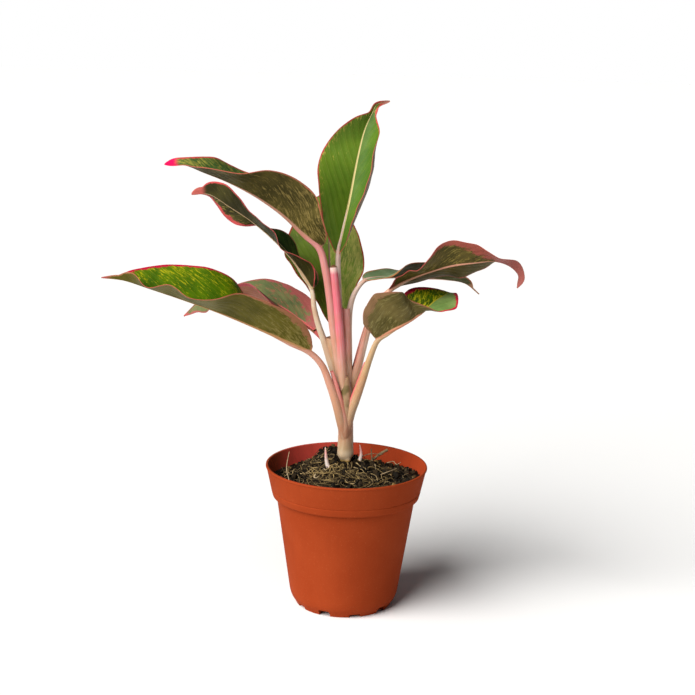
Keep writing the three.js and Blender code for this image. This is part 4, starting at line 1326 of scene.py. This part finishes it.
def shoots_and_twigs():
    """The shoots are pointed horns, and the twigs are short bits of woody root."""
    pink = shoot_finish()
    woody = fibre_finish("twig_skin", (0.2, 0.14, 0.07), (0.34, 0.25, 0.13))
    for name, (path, thick) in SHOOTS.items():
        rings, _, _ = tube(
            path, lambda u: thick * (1 - u) ** 0.55 * (1 - 0.25 * u) + 0.12, 40, 18,
            rounded=(False, False),
        )
        build(name + "_skin", [(rings, {})], pink, [name])
    for name, (path, (first, last)) in TWIGS.items():
        rings, _, _ = tube(
            path,
            lambda u: first + (last - first) * u + 0.08 * np.sin(19 * u) + 0.05 * np.sin(47 * u),
            30, 12, rounded=(False, False),
        )
        values = {"tone": np.full(rings.shape, 0.6)}
        build(name + "_skin", [(rings, values)], woody, [name])


# ------------------------------------------------------------- floor, lights and camera

# Where the camera stands, its downward pitch and its roll in degrees, and its lens.
CAMERA = {"eye": (-1.2, -937, 379), "pitch": 12.5, "roll": 1.4, "lens": 77.7, "sensor": 36}


def studio():
    """A plain white floor, a soft key light from the upper left and front, an even sky
    that the camera sees as white, and the camera."""
    scene = bpy.context.scene
    bpy.ops.mesh.primitive_circle_add(vertices=96, radius=9, fill_type="NGON")
    floor = bpy.context.active_object
    floor.name = "floor"
    f = Finish("floor", roughness=0.9, specular=0.1)
    floor.data.materials.append(f.finish((0.88, 0.88, 0.88)))

    sun = bpy.data.lights.new("key", "SUN")
    sun.energy = 5.5
    sun.angle = math.radians(52)
    sun.color = (1, 0.985, 0.96)
    key = bpy.data.objects.new("key", sun)
    towards_light = Vector((-0.74, -0.66, 0.84))
    key.rotation_euler = towards_light.to_track_quat("Z", "Y").to_euler()
    scene.collection.objects.link(key)

    world = bpy.data.worlds.new("sky")
    scene.world = world
    world.use_nodes = True
    nodes, links = world.node_tree.nodes, world.node_tree.links
    sky = nodes["Background"]
    sky.inputs["Color"].default_value = (0.94, 0.97, 1, 1)
    sky.inputs["Strength"].default_value = 0.085
    white = nodes.new("ShaderNodeBackground")
    white.inputs["Color"].default_value = (1, 1, 1, 1)
    path, mix = nodes.new("ShaderNodeLightPath"), nodes.new("ShaderNodeMixShader")
    links.new(path.outputs["Is Camera Ray"], mix.inputs[0])
    links.new(sky.outputs[0], mix.inputs[1])
    links.new(white.outputs[0], mix.inputs[2])
    links.new(mix.outputs[0], nodes["World Output"].inputs["Surface"])
    scene.view_settings.view_transform = "Standard"
    scene.view_settings.look = "None"

    camera = bpy.data.cameras.new("camera")
    camera.lens = CAMERA["lens"]
    camera.sensor_width = CAMERA["sensor"]
    eye = bpy.data.objects.new("camera", camera)
    pitch, roll = math.radians(CAMERA["pitch"]), math.radians(CAMERA["roll"])
    ahead = Vector((0, math.cos(pitch), -math.sin(pitch)))
    flat = Vector((1, 0, 0))
    over = flat.cross(ahead)
    right = math.cos(roll) * flat + math.sin(roll) * over
    up = math.cos(roll) * over - math.sin(roll) * flat
    level = Matrix([right, up, -ahead]).transposed().to_4x4()
    eye.matrix_world = Matrix.Translation(Vector(CAMERA["eye"]) * MM) @ level
    scene.collection.objects.link(eye)
    scene.camera = eye


# ------------------------------------------------------------------------ the whole part

pot()
soil()
crumbs()
roots()
fibres()
stray_strands()
shoots_and_twigs()
cane()
for name in LEAVES:
    stalk(name)
    blade(name)
studio()
